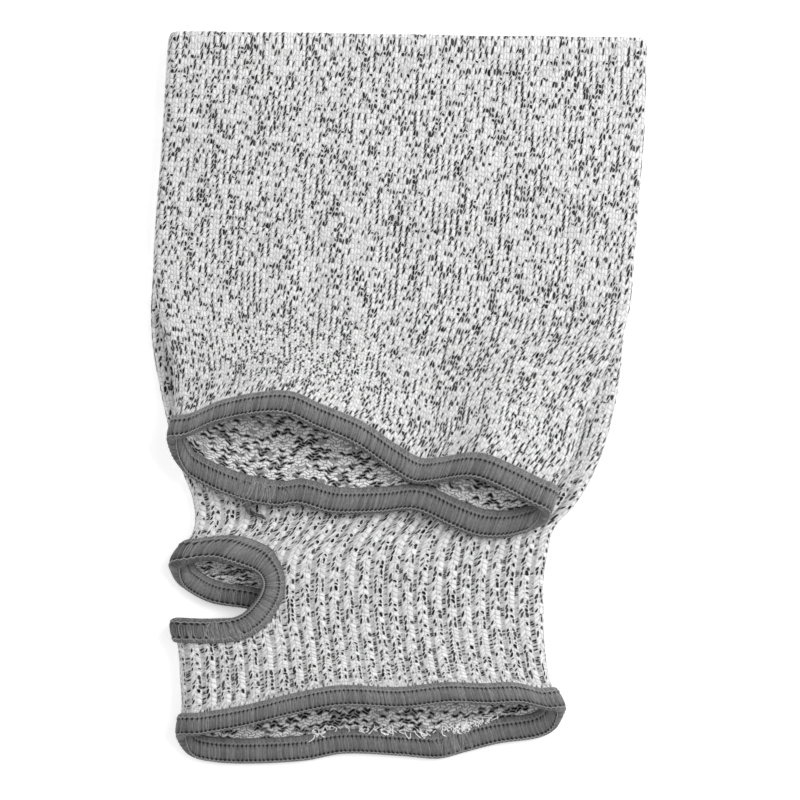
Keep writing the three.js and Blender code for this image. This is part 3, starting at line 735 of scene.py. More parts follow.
def purl_loops():
    """The knit's reverse: short strokes of yarn that lie across the wales."""
    inputs = ("Wale", "Course", "Dark", "Seed")
    tree, given, made = new_group("purl loops", inputs, ("Height", "Dark", "Tone"))
    wale, course, dark_share, seed = given.outputs[:4]
    wander = noise_at(tree, wale, course, 5.0, STROKE_DRIFT_SCALE, 2.0)
    drift = about_zero(tree, wander, STROKE_DRIFT)
    wave = calc(tree, "SINE", calc(tree, "MULTIPLY", wale, math.pi))
    swing = calc(tree, "MULTIPLY", wave, STROKE_SWING)
    lying = calc(tree, "ADD", calc(tree, "MULTIPLY", course, STROKES_PER_COURSE), swing, drift)
    row = calc(tree, "FLOOR", lying)
    up = calc(tree, "FRACT", lying)
    row_shift = calc(tree, "MULTIPLY", row, STROKE_SHIFT)
    side = calc(tree, "ADD", calc(tree, "MULTIPLY", wale, STROKES_PER_WALE), row_shift)
    column = calc(tree, "FLOOR", side)
    across = calc(tree, "FRACT", side)
    cell = add(tree, "ShaderNodeCombineXYZ", column, row, seed).outputs[0]
    chance = add(tree, "ShaderNodeTexWhiteNoise", cell, noise_dimensions="3D")
    x = calc(tree, "MULTIPLY", calc(tree, "SUBTRACT", across, 0.5), 2)
    y = calc(tree, "MULTIPLY", calc(tree, "SUBTRACT", up, 0.5), 2)
    x_fall = calc(tree, "POWER", calc(tree, "ABSOLUTE", x), 3)
    y_fall = calc(tree, "MULTIPLY", y, y)
    height = calc(tree, "SUBTRACT", 1.0, calc(tree, "MAXIMUM", x_fall, y_fall))
    patch_place = calc(tree, "MULTIPLY", wale, REVERSE_PATCH_STRETCH)
    patches = noise_at(tree, patch_place, course, 2.0, REVERSE_PATCH_SCALE, 2.0)
    threshold = calc(tree, "ADD", dark_share, about_zero(tree, patches, REVERSE_PATCH_SPAN))
    shown = ramp(tree, calc(tree, "SUBTRACT", threshold, chance.outputs[0]), -0.05, 0.2)
    dark = calc(tree, "MULTIPLY", ramp(tree, height, 0.1, 0.75), shown)
    tone = add(tree, "ShaderNodeSeparateXYZ", chance.outputs[1]).outputs[1]
    feed(tree, made.inputs, (height, dark, tone))
    return tree


legs_group = stitch_legs()
purl_group = purl_loops()
# Plain stitches of the arm, raised and sunk stitches of the ribs, and the loops of the inside:
# slant of the legs in courses, share of stitches that show the dark strand, size of its specks
PLAIN_STITCH = {
    "Rise": 0.5, "Tilt": 0.4, "Dark left": 0.6, "Dark right": 0.28, "Speck size": 1.04, "Seed": 1.0,
}
RAISED_STITCH = {
    "Rise": 0.8, "Tilt": 0.3, "Dark left": 0.6, "Dark right": 0.5, "Speck size": 0.66, "Seed": 2.0,
}
SUNK_LOOP = {"Dark": 0.48, "Seed": 3.0}
INSIDE_LOOP = {"Dark": 0.46, "Seed": 4.0}
# A rib's raised wale and the sunk one beside it: the raised one's share of the rib, where the
# sunk one begins and has taken over, from the crest in ribs, and how far its height is lowered, which
# deepens its bump and darkens it with painted shade
CREST_SHARE = 0.66
VALLEY_EDGE = (0.27, 0.4)
VALLEY_PAINTED_SHADE = 0.6
CREST_MARGIN = 0.001


def stitches_of(tree, group, wale, course, settings):
    """Height, darkness and tone of one kind of stitch at a place."""
    node = add(tree, "ShaderNodeGroup", node_tree=group)
    feed(tree, node.inputs, (wale, course))
    feed(tree, [node.inputs[name] for name in settings], settings.values())
    return node.outputs[:3]


def face_side(tree, wale, course, ribs):
    """Plain stitches on the arm, and on the wrist a raised wale and a sunk one to each rib."""
    plain = stitches_of(tree, legs_group, wale, course, PLAIN_STITCH)
    past_crest = calc(tree, "SUBTRACT", wale, FIRST_CREST)
    rib_place = calc(tree, "DIVIDE", past_crest, WALES_PER_RIB)
    rib = calc(tree, "ROUND", rib_place)
    off_crest = calc(tree, "SUBTRACT", rib_place, rib)
    crest_place = calc(tree, "ADD", calc(tree, "DIVIDE", off_crest, CREST_SHARE), 0.5)
    crest_place = calc(tree, "MAXIMUM", crest_place, CREST_MARGIN)
    crest_place = calc(tree, "MINIMUM", crest_place, 1 - CREST_MARGIN)
    on_crest = calc(tree, "ADD", rib, crest_place)
    raised = stitches_of(tree, legs_group, on_crest, course, RAISED_STITCH)
    sunk_wale = calc(tree, "MULTIPLY", rib_place, 2)
    sunk = stitches_of(tree, purl_group, sunk_wale, course, SUNK_LOOP)
    valley = ramp(tree, calc(tree, "ABSOLUTE", off_crest), *VALLEY_EDGE)
    results = []
    for of_plain, of_raised, of_sunk in zip(plain, raised, sunk):
        results.append(mix(tree, ribs, of_plain, mix(tree, valley, of_raised, of_sunk)))
    # Sunk wales lie lower. This gives them a deeper bump and, through the knit's colour, a painted
    # shade.
    sunk_in = calc(tree, "MULTIPLY", valley, ribs, VALLEY_PAINTED_SHADE)
    results[0] = calc(tree, "MULTIPLY", results[0], calc(tree, "SUBTRACT", 1.0, sunk_in))
    return results


def soft_material(name, roughness, gloss, sheen):
    """A dull material for yarn, with its tree and its shader."""
    material = bpy.data.materials.new(name)
    material.use_nodes = True
    shader = material.node_tree.nodes["Principled BSDF"]
    shader.inputs["Roughness"].default_value = roughness
    shader.inputs["Specular IOR Level"].default_value = gloss
    shader.inputs["Sheen Weight"].default_value = sheen
    shader.inputs["Sheen Roughness"].default_value = 0.5
    return material, material.node_tree, shader


def colour_and_bump(tree, shader, colour, lit, surface, strength, depth):
    """Gives a shader its colour times a lightness, which carries painted shade and tone, and a relief.
    """
    shade = add(tree, "ShaderNodeCombineColor", lit, lit, lit).outputs[0]
    tinted = blend_colours(tree, 1.0, colour, shade, "MULTIPLY")
    tree.links.new(tinted, shader.inputs["Base Color"])
    bump = tree.nodes.new("ShaderNodeBump")
    bump.inputs["Strength"].default_value = strength
    bump.inputs["Distance"].default_value = depth
    tree.links.new(surface, bump.inputs["Height"])
    tree.links.new(bump.outputs[0], shader.inputs["Normal"])


LIGHT_YARN = grey(233)
# The inside shows the same yarn set lighter, as painted light against the shade inside the tube.
INSIDE_YARN_PAINTED_LIGHT = grey(246)
DARK_STRAND = grey(18)
STITCH_BUMP = 0.00022
FIBRE_BUMP = 0.35
FIBRE_SCALE = 3600.0
CLOUD_SCALE = 120.0


def knit_material(name, yarn_colour, painted_gap_shade, inside):
    """Light yarn with its dark strand, with painted shade between the loops."""
    material, tree, shader = soft_material(name, 0.92, 0.15, 0.12)
    stitches = tree.nodes.new("ShaderNodeUVMap")
    stitches.uv_map = "stitches"
    wale, course = add(tree, "ShaderNodeSeparateXYZ", stitches.outputs[0]).outputs[:2]
    if inside:
        height, dark, tone = stitches_of(tree, purl_group, wale, course, INSIDE_LOOP)
    else:
        ribs = add(tree, "ShaderNodeAttribute", attribute_name="ribs").outputs["Fac"]
        height, dark, tone = face_side(tree, wale, course, ribs)
    place = tree.nodes.new("ShaderNodeTexCoord").outputs["Object"]
    fibre = add(tree, "ShaderNodeTexNoise", place, None, FIBRE_SCALE, 2.0).outputs[0]
    cloudy = add(tree, "ShaderNodeTexNoise", place, None, CLOUD_SCALE, 2.0).outputs[0]

    # Painted shade: the colour darkens where the stitches' height falls, between the loops. It is then
    # multiplied by the stitches' random tone, fibre grain and cloudy patches.
    lit = ramp(tree, height, 0.0, 0.75, painted_gap_shade, 1.0)
    for least, value, span in ((0.82, tone, 0.2), (0.72, fibre, 0.56), (0.94, cloudy, 0.12)):
        lit = calc(tree, "MULTIPLY", lit, plus(tree, least, value, span))
    yarn = blend_colours(tree, dark, yarn_colour, DARK_STRAND)
    surface = plus(tree, height, fibre, FIBRE_BUMP)
    colour_and_bump(tree, shader, yarn, lit, surface, 0.9, STITCH_BUMP)
    return material


def finished(name, mesh, nodes):
    """A piece of the object from its mesh, which rides on the frame's one body."""
    piece = bpy.data.objects.new(name, mesh)
    bpy.context.collection.objects.link(piece)
    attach(piece, "root")
    if nodes:
        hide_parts(*nodes)
    return piece


knit_mesh = knit_surface()
face_knit = knit_material("knit_face_side", LIGHT_YARN, painted_gap_shade=0.5, inside=False)
reverse_knit = knit_material("knit_reverse_side", INSIDE_YARN_PAINTED_LIGHT, painted_gap_shade=0.3, inside=True)
knit_mesh.materials.append(face_knit)
knit_mesh.materials.append(reverse_knit)
# The way from the tube's own place to the frame's, which all the other pieces go too
knit_low, knit_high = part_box("knit_sleeve")
mesh_low = Vector([min(vert.co[i] for vert in knit_mesh.vertices) for i in range(3)])
mesh_high = Vector([max(vert.co[i] for vert in knit_mesh.vertices) for i in range(3)])
to_frame = Vector((
    (knit_low[0] + knit_high[0] - mesh_low.x - mesh_high.x) / 2,
    knit_low[1] - mesh_low.y,
    knit_low[2] + KNIT_WALL / 2 - mesh_low.z,
))
for vert in knit_mesh.vertices:
    vert.co += to_frame
knit_piece = finished("knit_sleeve_cloth", knit_mesh, ["knit_sleeve"])
wall = knit_piece.modifiers.new("wall", "SOLIDIFY")
wall.thickness = KNIT_WALL
wall.offset = 0
wall.material_offset = 1

# The overlocked edgings. Both rims and the thumb hole are bound with dull grey textured thread,
# three yarns to a stitch laid square round the cut edge, held by a chain of thread on each side
# of the cloth and another along the lip. Under them lies a thin packed shell of the same thread.
EDGING_LIP = 0.0013
SEAT_DEPTH = 0.0005
FOLD_PLAY = 0.0002
STITCH_PITCH = 0.00115
STATIONS_PER_STITCH = 2
RING_NUDGE = 0.001
ALONG_NUDGE = 0.00005
RIM_POINTS = 720
SQUARE_POINTS = 4
# Half the edging's section from its seam on the knit to the lip's tip: into, out in halves
HALF_SECTION = [
    (0.0047, 0.62), (0.0044, 0.84), (0.0039, 0.95), (0.0035, 0.98), (0.0031, 0.98),
    (0.0027, 1), (0.0021, 1), (0.0014, 1), (0.0007, 1), (0.0001, 0.98), (-0.0004, 0.9),
    (-0.0008, 0.74), (-0.0011, 0.5), (-0.00125, 0.25), (-0.0013, 0),
]
WHOLE_SECTION = HALF_SECTION + [(into, -out) for into, out in reversed(HALF_SECTION[:-1])]
TIP_OUT = 0.3
# Yarns: they slip and lean by shares of a stitch, and are drawn together and down in the holes
# of the needle line and of the lip's line
YARNS_PER_STITCH = 3
YARN_RADIUS = 0.00021
YARN_SINK = 0.00016
YARN_SLIP = 0.03
YARN_LEAN = 0.5
NEEDLE_LINE = 0.0031
LIP_LINE = -0.0004
PINCH_REACH = 0.00038
PINCH_GATHER = 0.72
PINCH_DEPTH = 0.07
# Chains: how far into the knit each line lies, its swing from there and its height in halves
CHAIN_OFF = 0.00028
CHAIN_LINES = [(NEEDLE_LINE + CHAIN_OFF, 0.00042, 1), (LIP_LINE - CHAIN_OFF, -0.00036, 0.8)]
CHAIN_RADIUS = 0.00013
LINK_STEPS = 4
# Lightness of the shell and the chains, beside 0 to 1 for the yarns, and the painted shade that
# darkens the pits under the holes, the holes themselves and the lip
SHELL_TONE = 0.5
CHAIN_TONE = 1.5
PIT_PAINTED_SHADE = 2.2
HOLE_PAINTED_SHADE = 0.9
LIP_PAINTED_SHADE = 0.45
LIP_RUN = 0.0024
# Mussed yarns of a join: how far they spread and slant, and on the half section the points that
# they start from, the points that they pass and the last one that they may reach
JOIN_YARNS = 110
JOIN_SPREAD = 0.0026
JOIN_SLANT = 0.0008
JOIN_STARTS = 5
JOIN_PASSES = (4, 9)
JOIN_LAST = 11
JOIN_RISE = (0.3, 1.3)
JOIN_TONES = (-0.3, 1.1)
JOIN_GIRTH = 1.1


def skin(ring, along, out):
    """A point off the knit's middle surface, by a distance outwards."""
    ahead = min(along + ALONG_NUDGE, SLEEVE_LENGTH)
    behind = max(along - ALONG_NUDGE, 0)
    across = middle_point(ring + RING_NUDGE, along) - middle_point(ring - RING_NUDGE, along)
    onward = middle_point(ring, ahead) - middle_point(ring, behind)
    return middle_point(ring, along) + across.cross(onward).normalized() * out


def rim_places(rim_along, direction):
    """Places on a rim's band by share of the way round and distance in from the cut edge."""
    level = rim_along + direction * EDGING_COVER / 2
    lengths = lengths_round([middle_point(i / RIM_POINTS, level) for i in range(RIM_POINTS)])

    def place(share, into):
        goal = share % 1 * lengths[-1]
        k = min(bisect.bisect_right(lengths, goal) - 1, RIM_POINTS - 1)
        ring = (k + (goal - lengths[k]) / (lengths[k + 1] - lengths[k])) / RIM_POINTS
        return ring, rim_along + direction * into

    return place, lengths[-1]


def thumb_places():
    """The same for the thumb hole, square off its outline."""
    count = len(thumb_edge)
    squares = []
    for i in range(count):
        run = thumb_edge[(i + SQUARE_POINTS) % count] - thumb_edge[i - SQUARE_POINTS]
        squares.append(Vector((-run.y, run.x)).normalized())

    def place(share, into):
        at = share % 1 * count
        k = int(at) % count
        rest = at - int(at)
        edge = thumb_edge[k].lerp(thumb_edge[(k + 1) % count], rest)
        square = squares[k].lerp(squares[(k + 1) % count], rest)
        spot = edge + square * into
        return ring_at(spot.x, section_at(spot.y)), spot.y

    return place, lengths_round(thumb_edge)[-1]


def on_edging(place, share, into, out):
    """A point of an edging: into the knit from its cut edge, or past it, and off its middle."""
    ring, along = place(share, max(into, 0))
    point = skin(ring, along, out)
    if into < 0:
        edge = middle_point(*place(share, 0))
        inner = middle_point(*place(share, EDGING_LIP))
        point += (inner - edge) * (into / EDGING_LIP)
    return point + to_frame


def pinch_at(into):
    """How far the stitches are drawn together: 1 on the needle line and on the lip's line."""
    return max(
        math.exp(-(((into - NEEDLE_LINE) / PINCH_REACH) ** 2)),
        math.exp(-(((into - LIP_LINE) / PINCH_REACH) ** 2)),
    )


def band_outline(play):
    """The shell's section: its outer side under the yarns and its seat on the knit."""
    half = EDGING_HALF + play - YARN_SINK - YARN_RADIUS / 2
    seat = CLEAR_HALF + play
    outline = []
    for into, out in WHOLE_SECTION:
        if abs(out) > TIP_OUT:
            outline.append((into, out * (half - seat) + math.copysign(seat, out)))
        else:
            outline.append((into + YARN_RADIUS, out * half))
    seat_stops = [EDGING_COVER * 2 / 3, EDGING_COVER / 3, -SEAT_DEPTH]
    outline += [(into, -seat) for into in seat_stops]
    outline += [(into, seat) for into in reversed(seat_stops)]
    return outline


def band_mesh(name, place, length, play):
    """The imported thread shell: a closed section carried round the edge."""
    outline = band_outline(play)
    stations = round(length / STITCH_PITCH) * STATIONS_PER_STITCH
    band = bmesh.new()
    tone = band.verts.layers.float.new("tone")
    rings = [
        [band.verts.new(on_edging(place, i / stations, into, out)) for into, out in outline]
        for i in range(stations)
    ]
    for ring in rings:
        for vert, (into, _) in zip(ring, outline):
            # Painted shade: the shell darkens in the pits under the chains' holes.
            vert[tone] = SHELL_TONE - PIT_PAINTED_SHADE * pinch_at(into)
    for i, ring in enumerate(rings):
        following = rings[(i + 1) % stations]
        for j in range(len(outline)):
            k = (j + 1) % len(outline)
            face = band.faces.new([ring[j], following[j], following[k], ring[k]])
            face.smooth = True
    bmesh.ops.recalc_face_normals(band, faces=band.faces)
    mesh = bpy.data.meshes.new(name)
    band.to_mesh(mesh)
    band.free()
    return mesh


def cover_yarns(place, length, play, chance):
    """Yarns laid round the edge, three to a stitch, drawn together into holes at the chains."""
    half = EDGING_HALF + play
    stitches = round(length / STITCH_PITCH)
    lines = []
    for stitch in range(stitches):
        for yarn in range(YARNS_PER_STITCH):
            side = yarn - (YARNS_PER_STITCH - 1) / 2
            tone = chance.random()
            slip = chance.gauss(0, YARN_SLIP)
            line = []
            for index, (into, out) in enumerate(WHOLE_SECTION):
                pinch = pinch_at(into)
                lean = YARN_LEAN * (index / (len(WHOLE_SECTION) - 1) - 0.5)
                aside = side / YARNS_PER_STITCH * (1 - PINCH_GATHER * pinch) + slip + lean
                share = (stitch + 0.5 + aside) / stitches
                height = out * (half - YARN_SINK) * (1 - PINCH_DEPTH * pinch)
                # Painted shade: yarns darken where they are drawn into the holes and towards the lip.
                shaded = tone - HOLE_PAINTED_SHADE * pinch * abs(side)
                shaded -= LIP_PAINTED_SHADE * ease(1 - into / LIP_RUN)
                line.append((on_edging(place, share, into, height), YARN_RADIUS, shaded))
            lines.append(line)
    return lines


def chain_threads(place, length, play, chance):
    """Thread chains on both faces along the needle line and the lip, one link to a stitch."""
    half = EDGING_HALF + play
    stitches = round(length / STITCH_PITCH)
    lines = []
    for face in (1, -1):
        for into, swing, out in CHAIN_LINES:
            line = []
            for step in range(stitches * LINK_STEPS):
                link = step / LINK_STEPS
                swung = into + swing * (0.5 - 0.5 * math.cos(2 * math.pi * link))
                share = (link + 0.5 + chance.gauss(0, YARN_SLIP)) / stitches
                thick = CHAIN_RADIUS * chance.uniform(0.85, 1.2)
                spot = on_edging(place, share, swung, face * out * half)
                line.append((spot, thick, CHAIN_TONE))
            lines.append(line + line[:1])
    return lines


def join_yarns(place, length, play, chance, join):
    """Mussed yarns where the edging's end was sewn over its start, on both faces."""
    half = EDGING_HALF + play
    lines = []
    for number in range(JOIN_YARNS):
        face = 1 if number % 2 else -1
        first = chance.randrange(0, JOIN_STARTS)
        last = min(first + chance.randrange(*JOIN_PASSES), JOIN_LAST)
        start = join + chance.gauss(0, JOIN_SPREAD) / length
        slant = chance.gauss(0, JOIN_SLANT) / length
        rise = YARN_RADIUS * chance.uniform(*JOIN_RISE)
        tone = chance.uniform(*JOIN_TONES)
        line = []
        for index in range(first, last + 1):
            into, out = HALF_SECTION[index]
            step = (index - first) / (last - first)
            height = face * (out * (half - YARN_SINK) + rise * math.sin(math.pi * step))
            spot = on_edging(place, start + slant * step, into, height)
            line.append((spot, YARN_RADIUS * JOIN_GIRTH, tone))
        lines.append(line)
    return lines


# Inputs of the tree that sweeps the threads. The looseness is how far a thread strays from its
# line, and the loose size the length over which it strays there and back
THREAD_INPUTS = [
    ("Lines", "Geometry", None),
    ("Looseness", "Float", 0.00003),
    ("Loose size", "Float", 0.0006),
    ("Sides", "Int", 4),
    ("Seed", "Float", 5.0),
    ("Material", "Material", None),
]


def thread_tree():
    """Sweeps a round thread along every line of a guide mesh and loosens it a little."""
    tree = bpy.data.node_groups.new("swept threads", "GeometryNodeTree")
    for name, kind, value in THREAD_INPUTS:
        socket = tree.interface.new_socket(name, in_out="INPUT", socket_type="NodeSocket" + kind)
        if value is not None:
            socket.default_value = value
    tree.interface.new_socket("Threads", in_out="OUTPUT", socket_type="NodeSocketGeometry")
    given = tree.nodes.new("NodeGroupInput").outputs
    made = tree.nodes.new("NodeGroupOutput")
    curve = add(tree, "GeometryNodeMeshToCurve", given["Lines"]).outputs[0]
    position = tree.nodes.new("GeometryNodeInputPosition").outputs[0]
    size = calc(tree, "DIVIDE", 1.0, given["Loose size"])
    cloud = add(tree, "ShaderNodeTexNoise", noise_dimensions="4D")
    tree.links.new(position, cloud.inputs["Vector"])
    tree.links.new(given["Seed"], cloud.inputs["W"])
    tree.links.new(size, cloud.inputs["Scale"])
    middle = add(tree, "ShaderNodeVectorMath", cloud.outputs[1], (0.5, 0.5, 0.5), operation="SUBTRACT")
    moved = add(tree, "ShaderNodeVectorMath", middle.outputs[0], operation="SCALE")
    tree.links.new(calc(tree, "MULTIPLY", given["Looseness"], 2), moved.inputs["Scale"])
    placed = tree.nodes.new("GeometryNodeSetPosition")
    tree.links.new(curve, placed.inputs["Geometry"])
    tree.links.new(moved.outputs[0], placed.inputs["Offset"])
    girth = add(tree, "GeometryNodeInputNamedAttribute", "girth", data_type="FLOAT").outputs[0]
    round_thread = tree.nodes.new("GeometryNodeCurvePrimitiveCircle")
    round_thread.inputs["Radius"].default_value = 1.0
    tree.links.new(given["Sides"], round_thread.inputs["Resolution"])
    swept = tree.nodes.new("GeometryNodeCurveToMesh")
    tree.links.new(placed.outputs[0], swept.inputs["Curve"])
    tree.links.new(girth, swept.inputs["Scale"])
    tree.links.new(round_thread.outputs[0], swept.inputs["Profile Curve"])
    swept.inputs["Fill Caps"].default_value = True
    smooth = add(tree, "GeometryNodeSetShadeSmooth", swept.outputs[0]).outputs[0]
    real = add(tree, "GeometryNodeRealizeInstances", smooth).outputs[0]
    finish = tree.nodes.new("GeometryNodeSetMaterial")
    tree.links.new(real, finish.inputs["Geometry"])
    tree.links.new(given["Material"], finish.inputs["Material"])
    tree.links.new(finish.outputs[0], made.inputs[0])
    return tree


threads_tree = thread_tree()


def thread_mesh(name, lines, material, **inputs):
    """A plain mesh of threads, each line a list of (point, radius, tone)."""
    guide_mesh = bpy.data.meshes.new("guide")
    points = [point for line in lines for point, _, _ in line]
    edges = []
    first = 0
    for line in lines:
        edges += [(first + i, first + i + 1) for i in range(len(line) - 1)]
        first += len(line)
    guide_mesh.from_pydata(points, edges, [])
    for layer, column in (("girth", 1), ("tone", 2)):
        values = [knot[column] for line in lines for knot in line]
        guide_mesh.attributes.new(layer, "FLOAT", "POINT").data.foreach_set("value", values)
    guide = bpy.data.objects.new("guide", guide_mesh)
    bpy.context.collection.objects.link(guide)
    sweep = guide.modifiers.new("sweep", "NODES")
    sweep.node_group = threads_tree
    inputs["Material"] = material
    for item in threads_tree.interface.items_tree:
        if item.in_out == "INPUT" and item.name in inputs:
            sweep[item.identifier] = inputs[item.name]
    graph = bpy.context.evaluated_depsgraph_get()
    mesh = bpy.data.meshes.new_from_object(
        guide.evaluated_get(graph), preserve_all_data_layers=True, depsgraph=graph
    )
    mesh.name = name
    bpy.data.objects.remove(guide)
    return mesh


FILAMENT_SCALE = 3800.0
FILAMENT_BUMP = 0.00008
THICK_AND_THIN_SCALE = 1300.0
DARKEST_THREAD = 0.12


def thread_material(name, level, tone_span):
    """Dull textured thread: fine filaments, each yarn a little lighter or darker at random, and darker
    where its tone carries painted shade.
    """
    material, tree, shader = soft_material(name, 0.85, 0.2, 0.2)
    place = tree.nodes.new("ShaderNodeTexCoord").outputs["Object"]
    filament = add(tree, "ShaderNodeTexNoise", place, None, FILAMENT_SCALE, 3.0).outputs[0]
    uneven = add(tree, "ShaderNodeTexNoise", place, None, THICK_AND_THIN_SCALE, 2.0).outputs[0]
    tone = add(tree, "ShaderNodeAttribute", attribute_name="tone").outputs["Fac"]
    lit = calc(tree, "MAXIMUM", plus(tree, 1 - tone_span / 2, tone, tone_span), DARKEST_THREAD)
    for least, value, span in ((0.5, filament, 1.0), (0.65, uneven, 0.7)):
        lit = calc(tree, "MULTIPLY", lit, plus(tree, least, value, span))
    colour_and_bump(tree, shader, grey(level), lit, filament, 0.7, FILAMENT_BUMP)
    return material


# The shell is the same thread as the yarns over it, set darker as painted shade under them.
shell_thread_painted_shade = thread_material("packed_thread_painted_shade", 96, 0.5)
cover_thread = thread_material("grey_cover_thread", 128, 0.5)


def edging(name, place, length, play, seed, join):
    """One edging of two pieces, its packed shell and the stitches laid round it."""
    chance = random.Random(seed)
    shell = band_mesh(name + "_shell", place, length, play)
    shell.materials.append(shell_thread_painted_shade)
    shell_piece = finished(name + "_shell", shell, [name])
    lines = cover_yarns(place, length, play, chance) + chain_threads(place, length, play, chance)
    lines += join_yarns(place, length, play, chance, join)
    stitches = thread_mesh(name + "_stitches", lines, cover_thread, Seed=float(seed))
    return [shell_piece, finished(name + "_stitches", stitches, [])]


hand_place, hand_length = rim_places(0, 1)
arm_place, arm_length = rim_places(SLEEVE_LENGTH, -1)
thumb_place, thumb_length = thumb_places()
# Each with its play over the knit, its random seed and its join's place as a share of the way round
edging_pieces = (
    edging("hand_edging", hand_place, hand_length, 0, 11, 0.6375)
    + edging("arm_edging", arm_place, arm_length, 0, 12, 0.13)
    + edging("thumb_edging", thumb_place, thumb_length, FOLD_PLAY, 13, 0.45)
)

# The tail of the arm edging's join. The end of the thread chain that the overlock machine sews on
# past the cloth, a few soft threads twisted together, left hanging 8 mm off the lower lip.
TAIL_LENGTH = 0.008
TAIL_THICK = 0.0017
TAIL_TURN = 0.21
TAIL_THREADS = 5
TAIL_TWISTS = 1.5
TAIL_STEPS = 24
TAIL_TONES = (-1.3, 0.1)
# A thread's radius and its way off the tail's middle in tail thicknesses, and how flat the tail
# lies in Y
TAIL_THREAD_RADIUS = 0.2
TAIL_THREAD_OFF = 0.3
TAIL_FLATNESS = 0.4
# Its course in tail lengths from its top, and its share of thickness
TAIL_PATH = [
    (0, 0, 0, 0.9), (0.08, -0.2, -0.03, 1), (0.26, -0.35, -0.08, 0.9),
    (0.48, -0.4, -0.13, 0.7), (0.66, -0.52, -0.15, 0.4),
]


def tail_lines(chance):
    """Threads twisted round the tail's course, thinner towards its end."""
    knots = [(i / (len(TAIL_PATH) - 1), *row) for i, row in enumerate(TAIL_PATH)]
    course_x, course_y, course_z, thickness = (curve_through(knots, i) for i in range(1, 5))
    rim = section_at(SLEEVE_LENGTH)
    top = middle_point(ring_at(TAIL_TURN * length_to(0.5, rim), rim), SLEEVE_LENGTH)
    top += to_frame - Vector((0, EDGING_LIP + 3 * SEAT_GAP, 0))
    lines = []
    for thread in range(TAIL_THREADS):
        line = []
        slip = chance.uniform(-0.4, 0.4)
        stop = chance.uniform(0.85, 1)
        for step in range(TAIL_STEPS + 1):
            at = step / TAIL_STEPS * stop
            turn = 2 * math.pi * (thread / TAIL_THREADS + TAIL_TWISTS * at) + slip
            thick = TAIL_THICK * thickness(at)
            around = Vector((math.cos(turn), math.cos(turn) * TAIL_FLATNESS, math.sin(turn)))
            spot = Vector((course_x(at), course_y(at), course_z(at))) * TAIL_LENGTH
            spot = top + spot + around * thick * TAIL_THREAD_OFF
            line.append((spot, thick * TAIL_THREAD_RADIUS, chance.uniform(*TAIL_TONES)))
        lines.append(line)
    return lines


tail_mesh = thread_mesh(
    "arm_edging_tail_threads", tail_lines(random.Random(14)), cover_thread, Sides=6, Seed=14.0
)
tail_piece = finished("arm_edging_tail_threads", tail_mesh, ["arm_edging_tail"])

# Loose ends of the light knitting yarn. Cut when the tube was made, they stick out from under the
# hand edging on the inside of the lower wall, as thin short wisps that lie over the edging.
WISPS = 110
WISP_RADIUS = 0.00014
WISP_STEPS = 6
WISP_REACH = (0.0004, 0.0015)
WISP_RISE = (0.0001, 0.0004)
WISP_SLANT = 0.0008
WISP_BEND = 0.0007
# Half of them spread over a stretch of the rim, half in a tuft, in shares of the way round
WISP_STRETCH = (0.58, 0.82)
WISP_TUFT = (0.62, 0.015)


def wisp_lines(chance):
    """Short bent wisps over the edging's inner border, from the cloth towards the lip."""
    lines = []
    for _ in range(WISPS):
        share = chance.choice((chance.uniform(*WISP_STRETCH), chance.gauss(*WISP_TUFT)))
        start = EDGING_COVER + chance.uniform(-0.0002, 0.0012)
        reach = chance.uniform(*WISP_REACH)
        slant = chance.gauss(0, WISP_SLANT) / hand_length
        bend = chance.gauss(0, WISP_BEND) / hand_length
        rise = chance.uniform(*WISP_RISE)
        line = []
        for step in range(WISP_STEPS + 1):
            t = step / WISP_STEPS
            into = start - reach * t
            aside = slant * t + bend * math.sin(math.pi * t)
            out = EDGING_HALF + rise * math.sin(math.pi * t)
            line.append((on_edging(hand_place, share + aside, into, -out), WISP_RADIUS, 0.5))
        lines.append(line)
    return lines


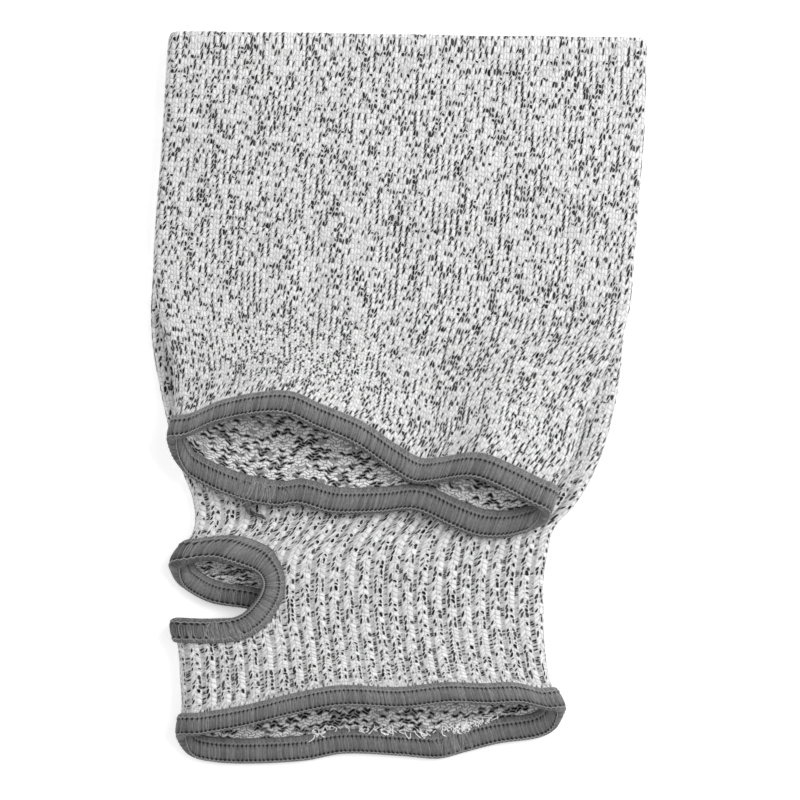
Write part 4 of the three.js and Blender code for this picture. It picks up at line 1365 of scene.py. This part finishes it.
# The wisps' yarn is set lighter than the knit's as painted light, against the shade they lie in.
wisp_thread_painted_light = thread_material("light_yarn_wisps_painted_light", 248, 0.1)
wisp_mesh = thread_mesh("hand_mouth_yarn_ends", wisp_lines(random.Random(15)), wisp_thread_painted_light)
wisp_piece = finished("hand_mouth_yarn_ends", wisp_mesh, [])

# The table. A plain white top under the sleeve, a little lit of itself so that it stays white as
# the photograph's background does, and part of the stage.
TABLE_HALF = 1.5
TABLE_DROP = 0.0002
TABLE_GLOW = 0.4
table_mesh = bpy.data.meshes.new("table")
table_corners = [
    (x * TABLE_HALF, y * TABLE_HALF, -TABLE_DROP) for x, y in ((-1, -1), (1, -1), (1, 1), (-1, 1))
]
table_mesh.from_pydata(table_corners, [], [(0, 1, 2, 3)])
table_material = bpy.data.materials.new("white_table")
table_material.use_nodes = True
table_shader = table_material.node_tree.nodes["Principled BSDF"]
table_shader.inputs["Base Color"].default_value = (0.96, 0.96, 0.96, 1)
table_shader.inputs["Roughness"].default_value = 0.9
table_shader.inputs["Emission Color"].default_value = (1, 1, 1, 1)
table_shader.inputs["Emission Strength"].default_value = TABLE_GLOW
table_mesh.materials.append(table_material)
table = bpy.data.objects.new("table", table_mesh)
bpy.context.collection.objects.link(table)

# The light. Two soft square lamps over the sleeve, the right one nearer and stronger, in a room
# of plain white light.
ROOM_LIGHT = 0.55


def soft_light(name, place, size, watts):
    light = bpy.data.lights.new(name, "AREA")
    light.shape = "SQUARE"
    light.size = size
    light.energy = watts
    lamp = bpy.data.objects.new(name, light)
    lamp.location = place
    lamp.rotation_euler = (-Vector(place)).to_track_quat("-Z", "Y").to_euler()
    bpy.context.collection.objects.link(lamp)


soft_light("softbox_right", (0.55, 0.3, 0.7), 0.6, 6.6)
soft_light("softbox_left", (-1.0, 0.3, 1.2), 0.8, 3)
world = bpy.data.worlds.new("studio")
world.use_nodes = True
world.node_tree.nodes["Background"].inputs["Color"].default_value = (1, 1, 1, 1)
world.node_tree.nodes["Background"].inputs["Strength"].default_value = ROOM_LIGHT
scene = bpy.context.scene
scene.world = world
scene.view_settings.view_transform = "Standard"
